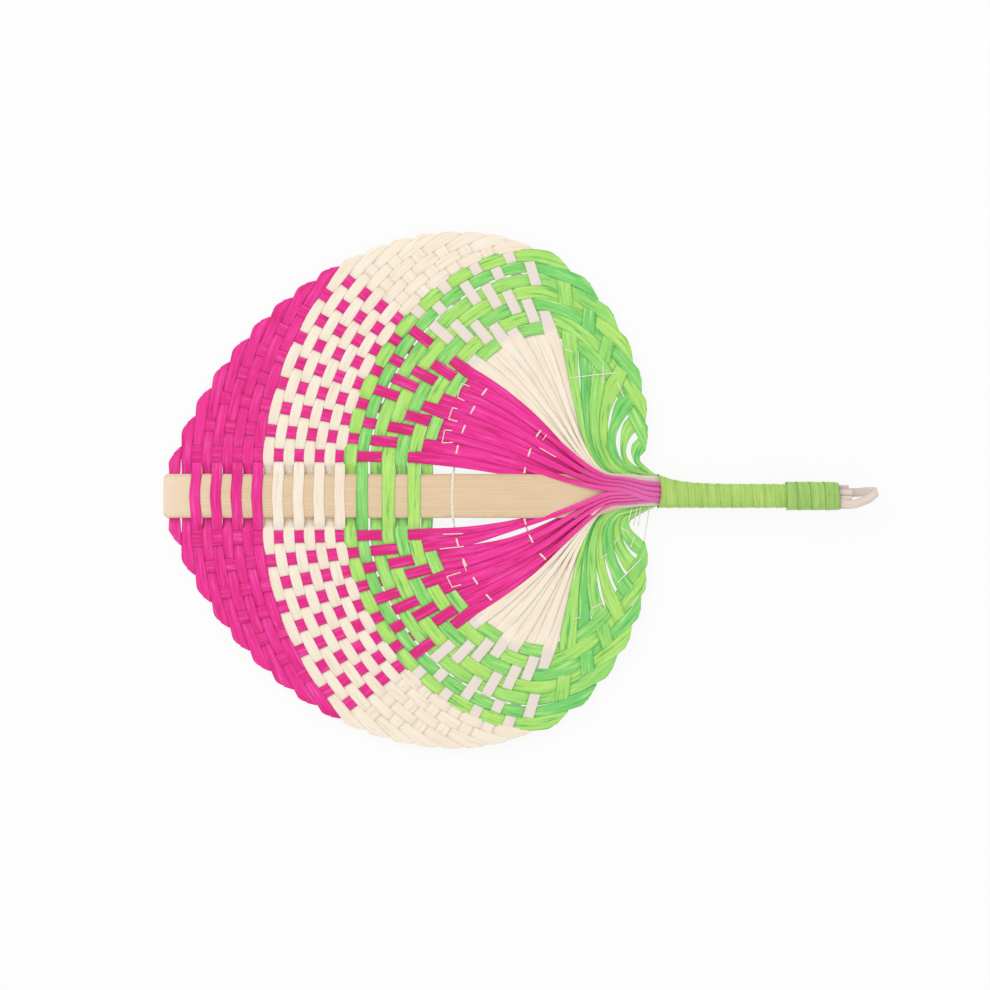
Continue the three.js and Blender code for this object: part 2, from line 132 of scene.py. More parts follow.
def by_hue(magenta: object, cream: object, green: object) -> dict[Hue, object]:
    """Gives a dataclass a field with one value for each dye."""
    return field(default_factory=lambda: dict(zip(Hue, (magenta, cream, green))))


def by_side(upper: float, lower: float) -> dict[Side, float]:
    """Gives a dataclass a field with one number for each half of the leaf."""
    return field(default_factory=lambda: dict(zip(Side, (upper, lower))))


@dataclass(frozen=True)
class FanPlace:
    """Where the fan's own frame lies in the shared frame, read from the mount on the slat's tip."""

    origin: tuple[float, float, float]
    tip_normal: tuple[float, float, float]

    @classmethod
    def from_record(cls, record: dict) -> "FanPlace":
        """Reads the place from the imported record.

        Args:
            record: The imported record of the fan.

        Returns:
            The fan's place in the shared frame.
        """
        mount = next(m for m in record["mounts"] if m["name"] == "slat_tip")
        return cls(tuple(mount["pos_m"]), tuple(mount["axis"]))

    @property
    def axes(self) -> np.ndarray:
        """Lays out the fan's own three axes.

        Returns:
            The axes in the shared frame, one a row.
        """
        along = unit(-np.array(self.tip_normal, float))
        across = np.array([0.0, 1.0, 0.0])
        return np.stack([along, across, np.cross(along, across)])

    def to_shared(self, points: np.ndarray) -> np.ndarray:
        """Carries points from the fan's frame, in millimetres, to the shared frame, in metres."""
        return np.array(self.origin) + (np.asarray(points, float) * METRES) @ self.axes

    def to_fan(self, points: np.ndarray) -> np.ndarray:
        """Carries points from the shared frame, in metres, to the fan's frame, in millimetres."""
        return (np.asarray(points, float) - np.array(self.origin)) @ self.axes.T / METRES


@dataclass(frozen=True)
class LeafPlan:
    """The leaf's layout: where every strip crosses every arc, as in the solids."""

    magenta: int = 9
    cream: int = 8
    green: int = 7
    outer_pitch: float = 4.33
    inner_pitch: float = 5.4
    last_arc_x: float = 111.4
    arch_top_x: float = 161.2
    arch_end_x: float = 203.4
    arch_end_height: float = 23.6
    upper_height: float = 70.8
    lower_height: float = 65.4
    arch_lean: float = 8.0
    arch_rise: float = 0.5
    arch_shoulder: float = 0.46
    arch_roundness: float = 0.3
    arch_fall: float = 0.5
    arch_tuck: float = 0.2
    first_strip_height: float = 16.2
    fan_pitch: float = 5.25
    green_fan_pitch: float = 9.4
    first_turn: float = 1.0
    turn: float = 4.5
    green_turn: float = 11.0
    fold_reach: float = 0.65
    lobe_crowding: float = 0.78
    twill_from: int = 20
    samples: int = 160
    arc_shifts: tuple[tuple[int, float], ...] = ((19, 0.28), (20, -0.1))

    @property
    def count(self) -> int:
        """The number of strips."""
        return self.magenta + self.cream + self.green

    @property
    def plain(self) -> int:
        """The number of strips before the green ones."""
        return self.magenta + self.cream

    def hue(self, strip: int) -> Hue:
        """Tells the dye of a strip.

        Args:
            strip: The strip's number, from 1 at the leaf's tip.

        Returns:
            The dye.
        """
        if strip <= self.magenta:
            return Hue.MAGENTA
        return Hue.CREAM if strip <= self.plain else Hue.GREEN

    def number_in_hue(self, strip: int) -> int:
        """The strip's number among those of its own dye, from 1."""
        start = {Hue.MAGENTA: 0, Hue.CREAM: self.magenta, Hue.GREEN: self.plain}
        return strip - start[self.hue(strip)]

    def name(self, strip: int) -> str:
        """The name of a strip's piece and of the solid that it stands for."""
        return f"{self.hue(strip).value}_strip_{self.number_in_hue(strip)}"

    def is_over(self, strip: int, arc: int) -> bool:
        """Tells which of two crossing strips lies in front.

        Args:
            strip: The number of the fanned strip, or 0 for the slat.
            arc: The number of the arc.

        Returns:
            Whether the fanned strip or the slat passes in front of the arc.
        """
        if strip == 0:
            return arc % 2 == 0 or arc == 1
        if arc < self.twill_from:
            return (strip + arc) % 2 == 0
        return (arc - strip) % 4 >= 2

    def into_lobe(self, strip: float) -> float:
        """0 for the magenta and cream strips, rising to 1 over the green ones."""
        return max(strip - self.plain, 0) / self.green

    def arc_offset(self, arc: int) -> float:
        """Measures how far an arc lies outside the last arc.

        Args:
            arc: The arc's number, from 1 at the leaf's tip.

        Returns:
            The distance.
        """
        inner = min(self.count - arc, self.green - 1)
        shift = dict(self.arc_shifts).get(arc, 0.0)
        return inner * self.inner_pitch + (self.count - arc - inner) * self.outer_pitch + shift

    def stepped(self, strip: int, plain_step: float, green_step: float) -> float:
        """A running sum over the strips, with one step for the plain ones and one for the green ones."""
        return (min(strip, self.plain) - 1) * plain_step + max(strip - self.plain, 0) * green_step

    def arch(self, side: Side) -> np.ndarray:
        """The last arc of one half, as close points.

        Args:
            side: Which half of the leaf.

        Returns:
            Points in the half's own plane, y away from the slat.
        """
        height = self.upper_height if side is Side.UPPER else self.lower_height
        lean = math.radians(self.arch_lean)
        start = np.array([self.last_arc_x, self.first_strip_height])
        top = np.array([self.arch_top_x, height])
        end = np.array([self.arch_end_x, self.arch_end_height])
        before = self.arch_top_x - self.last_arc_x
        beyond = self.arch_end_x - self.arch_top_x
        rise = (height - self.first_strip_height) * self.arch_rise
        fall = (height - self.arch_end_height) * self.arch_fall
        uphill = start + np.array([math.sin(lean), math.cos(lean)]) * rise
        shoulder = top - np.array([before * self.arch_shoulder, 0])
        round_over = top + np.array([beyond * self.arch_roundness, 0])
        tuck = np.array([self.arch_end_x - beyond * self.arch_tuck, self.arch_end_height + fall])
        first = bezier(start, uphill, shoulder, top, self.samples)
        second = bezier(top, round_over, tuck, end, self.samples)
        return np.vstack([first, second[1:]])


def bezier(
    start: np.ndarray, leave: np.ndarray, arrive: np.ndarray, end: np.ndarray, samples: int
) -> np.ndarray:
    """Points along a cubic curve.

    Args:
        start: The first point.
        leave: The point that the curve heads for as it leaves.
        arrive: The point that it comes from as it arrives.
        end: The last point.
        samples: How many steps to take.

    Returns:
        The points, from start to end.
    """
    t = np.linspace(0, 1, samples + 1)[:, None]
    r = 1 - t
    return r**3 * start + 3 * r * r * t * leave + 3 * r * t * t * arrive + t**3 * end


def at_length(line: np.ndarray, shares: np.ndarray) -> np.ndarray:
    """Points on a line of close points, at shares of its length.

    Args:
        line: The points of the line.
        shares: Shares of the whole length, from 0 to 1.

    Returns:
        One point for each share.
    """
    run = run_of(line)
    wanted = np.asarray(shares) * run[-1]
    return np.stack([np.interp(wanted, run, line[:, axis]) for axis in range(line.shape[1])], axis=-1)


@dataclass
class HalfLeaf:
    """One half of the leaf: where each fanned strip crosses the last arc, and its way out from there."""

    plan: LeafPlan
    side: Side
    points: np.ndarray = field(init=False)
    outs: np.ndarray = field(init=False)

    def __post_init__(self) -> None:
        """Lays the crossings out along the arch."""
        plan = self.plan
        strips = range(1, plan.count + 1)
        whole = plan.stepped(plan.count, plan.fan_pitch, plan.green_fan_pitch)
        shares = [plan.stepped(k, plan.fan_pitch, plan.green_fan_pitch) / whole for k in strips]
        turns = np.radians([plan.first_turn + plan.stepped(k, plan.turn, plan.green_turn) for k in strips])
        self.points = at_length(plan.arch(self.side), shares)
        self.outs = np.stack([-np.cos(turns), np.sin(turns)], axis=-1)

    def crossing(self, strip: int, arc: int) -> np.ndarray:
        """Where a fanned strip crosses an arc, in the half's own plane."""
        crowding = mix(1, self.plan.lobe_crowding, self.plan.into_lobe(strip))
        return self.points[strip - 1] + self.outs[strip - 1] * self.plan.arc_offset(arc) * crowding

    def fold(self, strip: int) -> np.ndarray:
        """Where a strip folds over at the leaf's edge, in the half's own plane."""
        return self.crossing(strip, strip) + self.outs[strip - 1] * self.plan.fold_reach

    def in_fan(self, flat: np.ndarray) -> np.ndarray:
        """Carries points of the half's own plane to the fan's plane."""
        return np.asarray(flat, float) * np.array([1.0, float(self.side.value)])


@dataclass
class Course:
    """A stretch of strip as rows of numbers: middle line, height, half width, roll and shade."""

    flat: np.ndarray
    height: np.ndarray
    half: np.ndarray
    roll: np.ndarray
    tone: np.ndarray

    @property
    def rows(self) -> tuple[np.ndarray, ...]:
        """All its rows of numbers, in the order of the fields."""
        return self.flat, self.height, self.half, self.roll, self.tone

    def cut(self, keep: np.ndarray) -> "Course":
        """Keeps the rows that a mask names."""
        return Course(*(row[keep] for row in self.rows))

    def turned_round(self) -> "Course":
        """Runs the same stretch the other way."""
        return Course(*(row[::-1] for row in replace(self, roll=-self.roll).rows))

    def followed_by(self, other: "Course") -> "Course":
        """Joins a stretch that goes on from this one."""
        return Course(*(np.concatenate(pair) for pair in zip(self.rows, other.rows)))

    def run(self) -> np.ndarray:
        """Measures the length from the first row to each row."""
        return run_of(self.flat)


@dataclass
class Ribbon:
    """A flat strip as rows of its two edges, the way its face points, its thickness and its shade."""

    left: np.ndarray
    right: np.ndarray
    face: np.ndarray
    thickness: np.ndarray
    tone: np.ndarray
    stops: tuple[float, ...] = (-1.0, -0.9, -0.45, 0.45, 0.9, 1.0)
    fullness: tuple[float, ...] = (0.3, 0.85, 1.0, 1.0, 0.85, 0.3)

    @classmethod
    def along(cls, course: Course, up: int, thickness: float) -> "Ribbon":
        """Gives a course its edges.

        Args:
            course: The stretch to follow.
            up: 1 where the strip's face points up, and -1 where it points down.
            thickness: The strip's thickness.

        Returns:
            The ribbon along the course.
        """
        flat_across = np.column_stack([sideways(course.flat), np.zeros(len(course.flat))]) * up
        across = flat_across * np.cos(course.roll)[:, None] + UPWARD * np.sin(course.roll)[:, None]
        face = (UPWARD * np.cos(course.roll)[:, None] - flat_across * np.sin(course.roll)[:, None]) * up
        middle = np.column_stack([course.flat, course.height])
        reach = across * course.half[:, None]
        return cls(middle + reach, middle - reach, face, np.full(len(middle), thickness), course.tone)

    def joined(self, other: "Ribbon") -> "Ribbon":
        """Joins a ribbon that goes on from this one.

        Args:
            other: The ribbon that follows.

        Returns:
            Both as one ribbon.
        """
        pairs = [(self.left, other.left), (self.right, other.right), (self.face, other.face)]
        pairs += [(self.thickness, other.thickness), (self.tone, other.tone)]
        return Ribbon(*(np.concatenate(pair) for pair in pairs), self.stops, self.fullness)

    def build(self, name: str, place: FanPlace, seed: float, tint: Amount) -> bpy.types.Object:
        """Makes the closed mesh of the ribbon.

        Args:
            name: The piece's name.
            place: Where the fan lies.
            seed: A number that keeps this strip's fibres apart from the others'.
            tint: The strip's own place in the range of its dye, for the whole of it or for each row.

        Returns:
            The new object.
        """
        middle = (self.left + self.right) / 2
        reach = (self.left - self.right) / 2
        stops = np.array(self.stops + self.stops[::-1])
        sides = np.array([1.0] * len(self.stops) + [-1.0] * len(self.stops))
        fullness = np.array(self.fullness + self.fullness[::-1]) * sides
        lift = self.thickness[:, None] / 2 * fullness
        points = middle[:, None] + reach[:, None] * stops[:, None] + self.face[:, None] * lift[..., None]
        half = np.linalg.norm(reach, axis=1)
        rows, ring = points.shape[:2]
        strand = np.stack([
            np.repeat(run_of(middle), ring),
            (half[:, None] * stops).ravel(),
            np.full(rows * ring, seed),
        ], axis=-1)
        attributes = {
            "strand": strand,
            "edge": np.tile(np.abs(stops), rows),
            "tone": np.repeat(self.tone, ring),
            "tint": np.repeat(np.broadcast_to(tint, rows), ring),
        }
        return make_object(name, place.to_shared(points.reshape(-1, 3)), loft_faces(rows, ring), attributes)


def bend_through(start: np.ndarray, corner: np.ndarray, end: np.ndarray, share: float) -> np.ndarray:
    """A point on a curved way from start to end.

    Args:
        start: The first point.
        corner: The corner that the way leans towards.
        end: The last point.
        share: How far along the way the point lies, from 0 to 1.

    Returns:
        The point.
    """
    rest = 1 - share
    return start * rest * rest + corner * 2 * rest * share + end * share * share


def loft_faces(rows: int, ring: int) -> list[tuple[int, ...]]:
    """Faces of a closed body through a row of rings.

    Args:
        rows: How many rings there are.
        ring: How many points each has.

    Returns:
        Four-sided faces between the rings, and one face over each end.
    """
    faces: list[tuple[int, ...]] = []
    for row in range(rows - 1):
        here, there = row * ring, (row + 1) * ring
        for corner in range(ring):
            following = (corner + 1) % ring
            faces.append((here + corner, there + corner, there + following, here + following))
    faces.append(tuple(range(ring)))
    faces.append(tuple(reversed(range((rows - 1) * ring, rows * ring))))
    return faces


def make_object(
    name: str, points: np.ndarray, faces: list[tuple[int, ...]], attributes: dict[str, np.ndarray]
) -> bpy.types.Object:
    """Makes a mesh object with smooth faces and values on its points.

    Args:
        name: The object's name.
        points: Its points in the shared frame.
        faces: Its faces, by the numbers of their points.
        attributes: A value, or three, for each point, by name.

    Returns:
        The new object, linked to the scene.
    """
    mesh = bpy.data.meshes.new(name)
    mesh.from_pydata(points.tolist(), [], faces)
    for key, values in attributes.items():
        kind, slot = ("FLOAT_VECTOR", "vector") if values.ndim == 2 else ("FLOAT", "value")
        layer = mesh.attributes.new(key, kind, "POINT")
        layer.data.foreach_set(slot, values.astype(np.float32).ravel())
    mesh.shade_smooth()
    mesh.set_sharp_from_angle(angle=SHARP_EDGE)
    piece = bpy.data.objects.new(name, mesh)
    bpy.context.scene.collection.objects.link(piece)
    return piece


def spline(knots: np.ndarray, shares: tuple[float, ...]) -> tuple[np.ndarray, np.ndarray]:
    """A smooth line through knots.

    Args:
        knots: The points to pass through.
        shares: Where to put points between two knots, from 0 up to but without 1.

    Returns:
        The points of the line, and for each its place counted in knots.
    """
    lengths = np.linalg.norm(np.diff(knots, axis=0), axis=1)
    slopes = np.diff(knots, axis=0) / lengths[:, None]
    inner = (slopes[:-1] * lengths[1:, None] + slopes[1:] * lengths[:-1, None]) / (
        lengths[:-1, None] + lengths[1:, None]
    )
    if len(knots) == 2:
        tangents = np.vstack([slopes, slopes])
    else:
        ends = slopes[:1] * 1.5 - inner[:1] * 0.5, slopes[-1:] * 1.5 - inner[-1:] * 0.5
        tangents = np.vstack([ends[0], inner, ends[1]])
    points, places = [], []
    for number, length in enumerate(lengths):
        for t in shares:
            start, end = knots[number], knots[number + 1]
            away, home = tangents[number] * length, tangents[number + 1] * length
            blend = (2 * t**3 - 3 * t**2 + 1, t**3 - 2 * t**2 + t, 3 * t**2 - 2 * t**3, t**3 - t**2)
            points.append(start * blend[0] + away * blend[1] + end * blend[2] + home * blend[3])
            places.append(number + t)
    points.append(knots[-1])
    places.append(float(len(lengths)))
    return np.array(points), np.array(places)


def join_pieces(parts: list[bpy.types.Object], name: str) -> bpy.types.Object:
    """Makes one object of several.

    Args:
        parts: The objects.
        name: The name of the one that is left.

    Returns:
        The joined object.
    """
    with bpy.context.temp_override(
        active_object=parts[0], selected_editable_objects=parts, selected_objects=parts
    ):
        bpy.ops.object.join()
    parts[0].name = name
    return parts[0]


def wave(
    run: np.ndarray, spots: np.ndarray, levels: np.ndarray, holds: np.ndarray, most_held: float = 0.72
) -> np.ndarray:
    """Heights that hold a level round each crossing and ease from one to the next.

    Args:
        run: The lengths at which heights are wanted.
        spots: The lengths at which the crossings lie.
        levels: The height at each crossing.
        holds: How far to each side of a crossing its height is held.
        most_held: The greatest share of the way between two crossings that is held.

    Returns:
        One height for each length.
    """
    heights = np.empty(len(run))
    for row, length in enumerate(run):
        after = int(np.clip(np.searchsorted(spots, length), 1, len(spots) - 1))
        start, end = spots[after - 1], spots[after]
        held = np.array([holds[after - 1], holds[after]])
        held = held * min(1.0, most_held * (end - start) / max(held.sum(), TINY))
        free = max(end - start - held.sum(), TINY)
        heights[row] = mix(levels[after - 1], levels[after], smooth((length - start - held[0]) / free))
    return heights


@dataclass(frozen=True)
class Slit:
    """A gap between two neighbouring strips where they run from the last arc to the handle."""

    side: Side
    inner: int
    start: float
    end: float
    depth: float
    lead: float = 0.02
    steepness: float = 2.5

    def depth_at(self, shares: np.ndarray) -> np.ndarray:
        """Tells how much narrower each of the two strips is along the gap.

        Args:
            shares: Shares of the way, from 0 at the last arc to 1 at the collar.

        Returns:
            One depth for each share.
        """
        ramp = (self.end - self.start) / self.steepness
        opens = smooth((shares - self.start + self.lead) / ramp)
        return self.depth * opens * smooth((self.end - shares) / ramp)


@dataclass
class PlaitedLeaf:
    """The 24 plaited strips: each runs from the handle to the leaf's edge, across the slat and back again.

    A span is a start and a length: shares of the way from the last arc to the collar, or of the weave for
    first_flare_span, or numbers of strips for on_green_span. Rows are the place of the first strip and the
    pitch of the strips after it, counted out from the bundle's middle.
    """

    place: FanPlace
    plan: LeafPlan = field(default_factory=LeafPlan)
    seed: int = 11
    fibre_step: float = 7.3
    thickness: float = 0.34
    substeps: tuple[float, ...] = (0.0, 0.16, 0.3, 0.42, 0.5, 0.58, 0.7, 0.84)
    # Weave
    weave_rise: float = 0.3
    radial_half: dict[Hue, float] = by_hue(2.62, 2.6, 2.85)
    radial_half_on_green: float = 2.2
    on_green_span: tuple[float, float] = (-0.5, 1.5)
    radial_hold: float = 1.45
    radial_fold_hold: float = 2.5
    last_hold: float = 0.2
    first_flare: float = 1.0
    first_flare_span: tuple[float, float] = (0.55, 0.4)
    gather_blend: float = 6.0
    arc_half: dict[Hue, float] = by_hue(2.2, 2.2, 2.45)
    green_spread: tuple[float, ...] = (0.27, -0.03, 0.1, 0.3, 0.14, 0.2, 0.05)
    arc_hold: float = 2.3
    arc_fold_hold: float = 2.2
    first_arc_out: float = 0.9
    bulge: float = 0.06
    bulge_reach: float = 3.2
    unevenness: float = 0.06
    uneven_length: float = 6.1
    uneven_phase: float = 1.9
    slat_rise: float = 1.22
    slat_edge: float = 9.9
    slat_bow: float = 0.9
    slat_hold: float = 0.5
    # Folds at the leaf's edge
    fold_half: dict[Hue, float] = by_hue(2.75, 2.7, 3.0)
    fold_approach: float = 13.0
    fold_blend: float = 4.5
    fold_clearance: float = 1.3
    heading_rows: int = 3
    crease_radius: float = 0.26
    crease_turns: int = 9
    crease_steps: tuple[float, ...] = (0.12, 0.25, 0.38, 0.5, 0.62, 0.75, 0.88)
    corner_rounding: dict[Hue, float] = by_hue(3.3, 3.9, 2.6)
    corner_flatness: dict[Hue, float] = by_hue(0.1, 0.6, 0.25)
    first_flatness: float = 0.5
    # Way to the handle
    neck_x: float = 190.0
    lobe_neck_x: dict[Side, float] = by_side(201.0, 197.5)
    neck_rows: dict[Hue, tuple[float, float]] = by_hue((0.0, 1.45), (3.0, 1.0), (4.5, 1.8))
    leave: float = 0.45
    lobe_leave: float = 0.5
    arrive: float = 0.2
    lobe_arrive: float = 0.42
    route_steps: int = 60
    tail_steps: int = 12
    sway_place: dict[Side, float] = by_side(0.75, 0.95)
    sway_first: dict[Side, float] = by_side(-0.5, 2.7)
    sway_most: dict[Side, float] = by_side(3.8, 5.2)
    sway_power: float = 1.2
    sway_tail: int = 2
    upper_edge_sway: float = -1.5
    loose_strips: int = 2
    loose_sway: float = 2.1
    loose_place: float = 1.75
    gather_rows: int = 40
    settle: float = 0.12
    spread_span: tuple[float, float] = (0.0, 0.2)
    roll_span: tuple[float, float] = (0.3, 0.4)
    sink_span: tuple[float, float] = (0.36, 0.52)
    dome_span: tuple[float, float] = (0.45, 0.4)
    shade_span: tuple[float, float] = (0.45, 0.5)
    narrowest_side: dict[Hue, float] = by_hue(1.1, 0.85, 0.85)
    widest_side: dict[Hue, float] = by_hue(3.7, 3.1, 3.7)
    gap_share: float = 0.54
    gap_overlap: float = 0.12
    gap_samples: int = 240
    evening: int = 7
    slits: tuple[Slit, ...] = (
        Slit(Side.LOWER, 2, 0.14, 0.86, 1.9),
        Slit(Side.UPPER, 18, 0.0, 0.3, 0.8),
        Slit(Side.UPPER, 19, 0.03, 0.22, 0.55),
        Slit(Side.UPPER, 21, 0.04, 0.4, 0.9),
        Slit(Side.UPPER, 22, 0.1, 0.6, 1.3),
        Slit(Side.UPPER, 23, 0.02, 0.7, 1.5),
        Slit(Side.LOWER, 19, 0.0, 0.16, 0.5),
        Slit(Side.LOWER, 20, 0.0, 0.32, 1.0),
        Slit(Side.LOWER, 21, 0.0, 0.36, 1.0),
        Slit(Side.LOWER, 22, 0.02, 0.36, 0.8),
        Slit(Side.LOWER, 23, 0.04, 0.4, 0.7),
    )
    # Bundle in the collar and the handle
    collar_x: float = 208.5
    collar_shift: float = 2.2
    collar_rows: dict[Hue, tuple[float, float]] = by_hue((0.0, 1.05), (2.6, 0.9), (2.9, 0.9))
    upper_magenta_rows: tuple[float, float] = (-5.1, 2.18)
    widest_row: float = 5.4
    widest_bow: float = 7.0
    upper_over: float = 0.35
    first_layer: float = 1.55
    layer_pitch: float = 0.95
    shingle_roll: float = 20.0
    dome: float = 0.035
    flare_length: float = 8.0
    handle_xs: tuple[float, ...] = (285.1, 262.0, 240.0, 228.5, 222.0, 216.5, 212.0)
    handle_rows_x: float = 228.5
    handle_row_pitch: float = 0.78
    collar_half: float = 0.9
    handle_half: float = 0.42
    handle_room: float = 4.1
    flare_room: float = 2.0
    # Dye
    green_tints: tuple[float, ...] = (0.8, 0.22, 0.62, 0.95, 0.3, 0.85, 0.5)
    lobes_start_x: float = 160.0
    arc_lift: float = 0.16
    arc_lift_length: float = 20.0
    dull_on_green: float = 0.02
    dull_on_cream: float = 0.38
    dull_luck: float = 0.12
    cream_from: float = 32.0
    cream_blend: float = 6.0
    bright: float = 0.8
    bright_luck: float = 0.2
    bright_before: float = 2.0
    bright_blend: float = 14.0
    arc_tint: float = 0.45
    arc_luck: float = 0.4

    def __post_init__(self) -> None:
        """Lays out both halves and the strips' ways to the handle."""
        self.halves = {side: HalfLeaf(self.plan, side) for side in Side}
        self.routes = {
            (side, strip): self.gather_route(self.halves[side], strip)
            for side in Side for strip in range(1, self.plan.count + 1)
        }

    def face_of(self, strip: int) -> int:
        """Gives 1 for a strip that enters the handle in front of the slat, and -1 for one behind it."""
        return 1 if strip % 2 == 0 else -1

    def row_place(self, strip: int) -> float:
        """Gives the strip's place in its row in the handle, counted out from the middle."""
        return (self.plan.number_in_hue(strip) - 1) // 2 + 0.5

    def neck_offset(self, strip: int) -> float:
        """Tells how far from the bundle's middle a strip lies at the neck."""
        start, pitch = self.neck_rows[self.plan.hue(strip)]
        return start + self.row_place(strip) * pitch

    def collar_offset(self, side: Side, strip: int) -> float:
        """Tells how far from the bundle's middle a strip lies where it enters the handle.

        Args:
            side: The strip's half of the leaf. The upper magenta strips spread over the lower ones.
            strip: The strip's number.

        Returns:
            The distance, away from the slat.
        """
        spreads = side is Side.UPPER and self.plan.hue(strip) is Hue.MAGENTA
        start, pitch = self.upper_magenta_rows if spreads else self.collar_rows[self.plan.hue(strip)]
        return min(start + self.row_place(strip) * pitch, self.widest_row)

    def layer_height(self, side: Side, strip: int) -> float:
        """Gives the height of a strip's layer: green next to the slat, then cream, then magenta."""
        layers = {Hue.GREEN: 0.0, Hue.CREAM: 1.0, Hue.MAGENTA: 2.0 + self.upper_over * side.value}
        return self.face_of(strip) * (self.first_layer + layers[self.plan.hue(strip)] * self.layer_pitch)

    def gather_route(self, half: HalfLeaf, strip: int) -> np.ndarray:
        """Draws the way from the last arc to the collar.

        Args:
            half: The half of the leaf.
            strip: The strip's number.

        Returns:
            Points in the half's own plane, from the last arc to the collar.
        """
        start, out = half.points[strip - 1], half.outs[strip - 1]
        shift = self.collar_shift * half.side.value
        lobe = self.plan.into_lobe(strip)
        neck_x = mix(self.neck_x, self.lobe_neck_x[half.side], lobe)
        neck = np.array([neck_x, self.neck_offset(strip) + shift])
        collar = np.array([self.collar_x, self.collar_offset(half.side, strip) + shift])
        reach = float(np.linalg.norm(start - neck))
        leave = start - out * reach * mix(self.leave, self.lobe_leave, lobe)
        level = unit(mix(np.array([1.0, 0.0]), unit(collar - neck), lobe))
        arrive = neck - level * reach * mix(self.arrive, self.lobe_arrive, lobe)
        curve = bezier(start, leave, arrive, neck, self.route_steps)
        bow, place = self.sway(half.side, strip)
        swell = np.sin(math.pi * np.linspace(0, 1, len(curve)) ** place) ** self.sway_power
        curve = curve + sideways(curve) * (bow * swell)[:, None]
        onward = np.linspace(0, 1, self.tail_steps + 1)[1:]
        tail = neck + (collar - neck) * np.column_stack([onward, mix(smooth(onward), onward, lobe)])
        return np.vstack([curve, tail])

    def sway(self, side: Side, strip: int) -> tuple[float, float]:
        """Gives the bow of a strip on its way to the handle.

        Args:
            side: The strip's half of the leaf.
            strip: The strip's number.

        Returns:
            How far the strip bows towards the next one, and a power that is higher the later it does so.
        """
        plan, most, place = self.plan, self.sway_most[side], self.sway_place[side]
        if side is Side.UPPER and strip == 1:
            return self.upper_edge_sway, place
        if side is Side.LOWER and strip <= self.loose_strips:
            return self.loose_sway, self.loose_place
        if strip <= plan.magenta:
            return mix(self.sway_first[side], most, smooth((strip - 1) / (plan.magenta - 1))), place
        left = plan.plain + self.sway_tail - strip
        return most * smooth(left / (plan.cream + self.sway_tail)), place

    def gather_sides(self, half: HalfLeaf, strip: int, shares: np.ndarray) -> tuple[np.ndarray, np.ndarray]:
        """Measures how far a strip reaches to either side where the strips run together.

        Args:
            half: The half of the leaf.
            strip: The strip's number.
            shares: Where on its route, from 0 at the last arc to 1 at the collar.

        Returns:
            The reach towards the slat and the reach away from it, for each share.
        """
        spots = at_length(self.routes[half.side, strip], shares)
        hue = self.plan.hue(strip)
        widest = self.widest_side[hue]
        sides = []
        for other in (strip - 1, strip + 1):
            known = other if 1 <= other <= self.plan.count else 2 * strip - other
            route = at_length(self.routes[half.side, known], np.linspace(0, 1, self.gap_samples))
            gaps = np.linalg.norm(spots[:, None] - route[None], axis=2).min(axis=1)
            reach = gaps * self.gap_share + self.gap_overlap
            for slit in self.slits:
                if slit.side is half.side and slit.inner == min(strip, other):
                    reach = np.minimum(reach, widest) - slit.depth_at(shares)
            reach = np.pad(np.clip(reach, self.narrowest_side[hue], widest), self.evening // 2, mode="edge")
            sides.append(np.convolve(reach, np.ones(self.evening) / self.evening, mode="valid"))
        return sides[0], sides[1]

    def rolled(self, half: HalfLeaf, strip: int, roll: np.ndarray) -> np.ndarray:
        """Gives the roll its sense, so that on both faces each strip lies over its outer neighbour."""
        return roll * half.side.value * self.face_of(strip)

    def handle_course(self, half: HalfLeaf, strip: int) -> Course:
        """Lays the stretch inside the handle.

        Args:
            half: The half of the leaf.
            strip: The strip's number.

        Returns:
            The stretch from the handle's end to just short of the collar.
        """
        xs = np.array(self.handle_xs)
        taper = np.clip((xs - self.collar_x) / (self.handle_rows_x - self.collar_x), 0, 1)
        fade = np.exp(-(xs - self.collar_x) / self.flare_length)
        halves = self.collar_half * (1 - taper) + self.handle_half * taper
        offset = self.collar_offset(half.side, strip)
        offsets = offset * (1 - taper) + self.row_place(strip) * self.handle_row_pitch * taper
        offsets = np.minimum(offsets, self.handle_room + self.flare_room * fade - halves)
        flat = np.column_stack([xs, offsets + self.collar_shift * fade * half.side.value])
        sag = self.dome * offset**2 * (1 - taper)
        height = self.layer_height(half.side, strip) - self.face_of(strip) * sag
        roll = np.radians(self.shingle_roll) * (1 - taper)
        return Course(half.in_fan(flat), height, halves, self.rolled(half, strip, roll), np.ones(len(xs)))

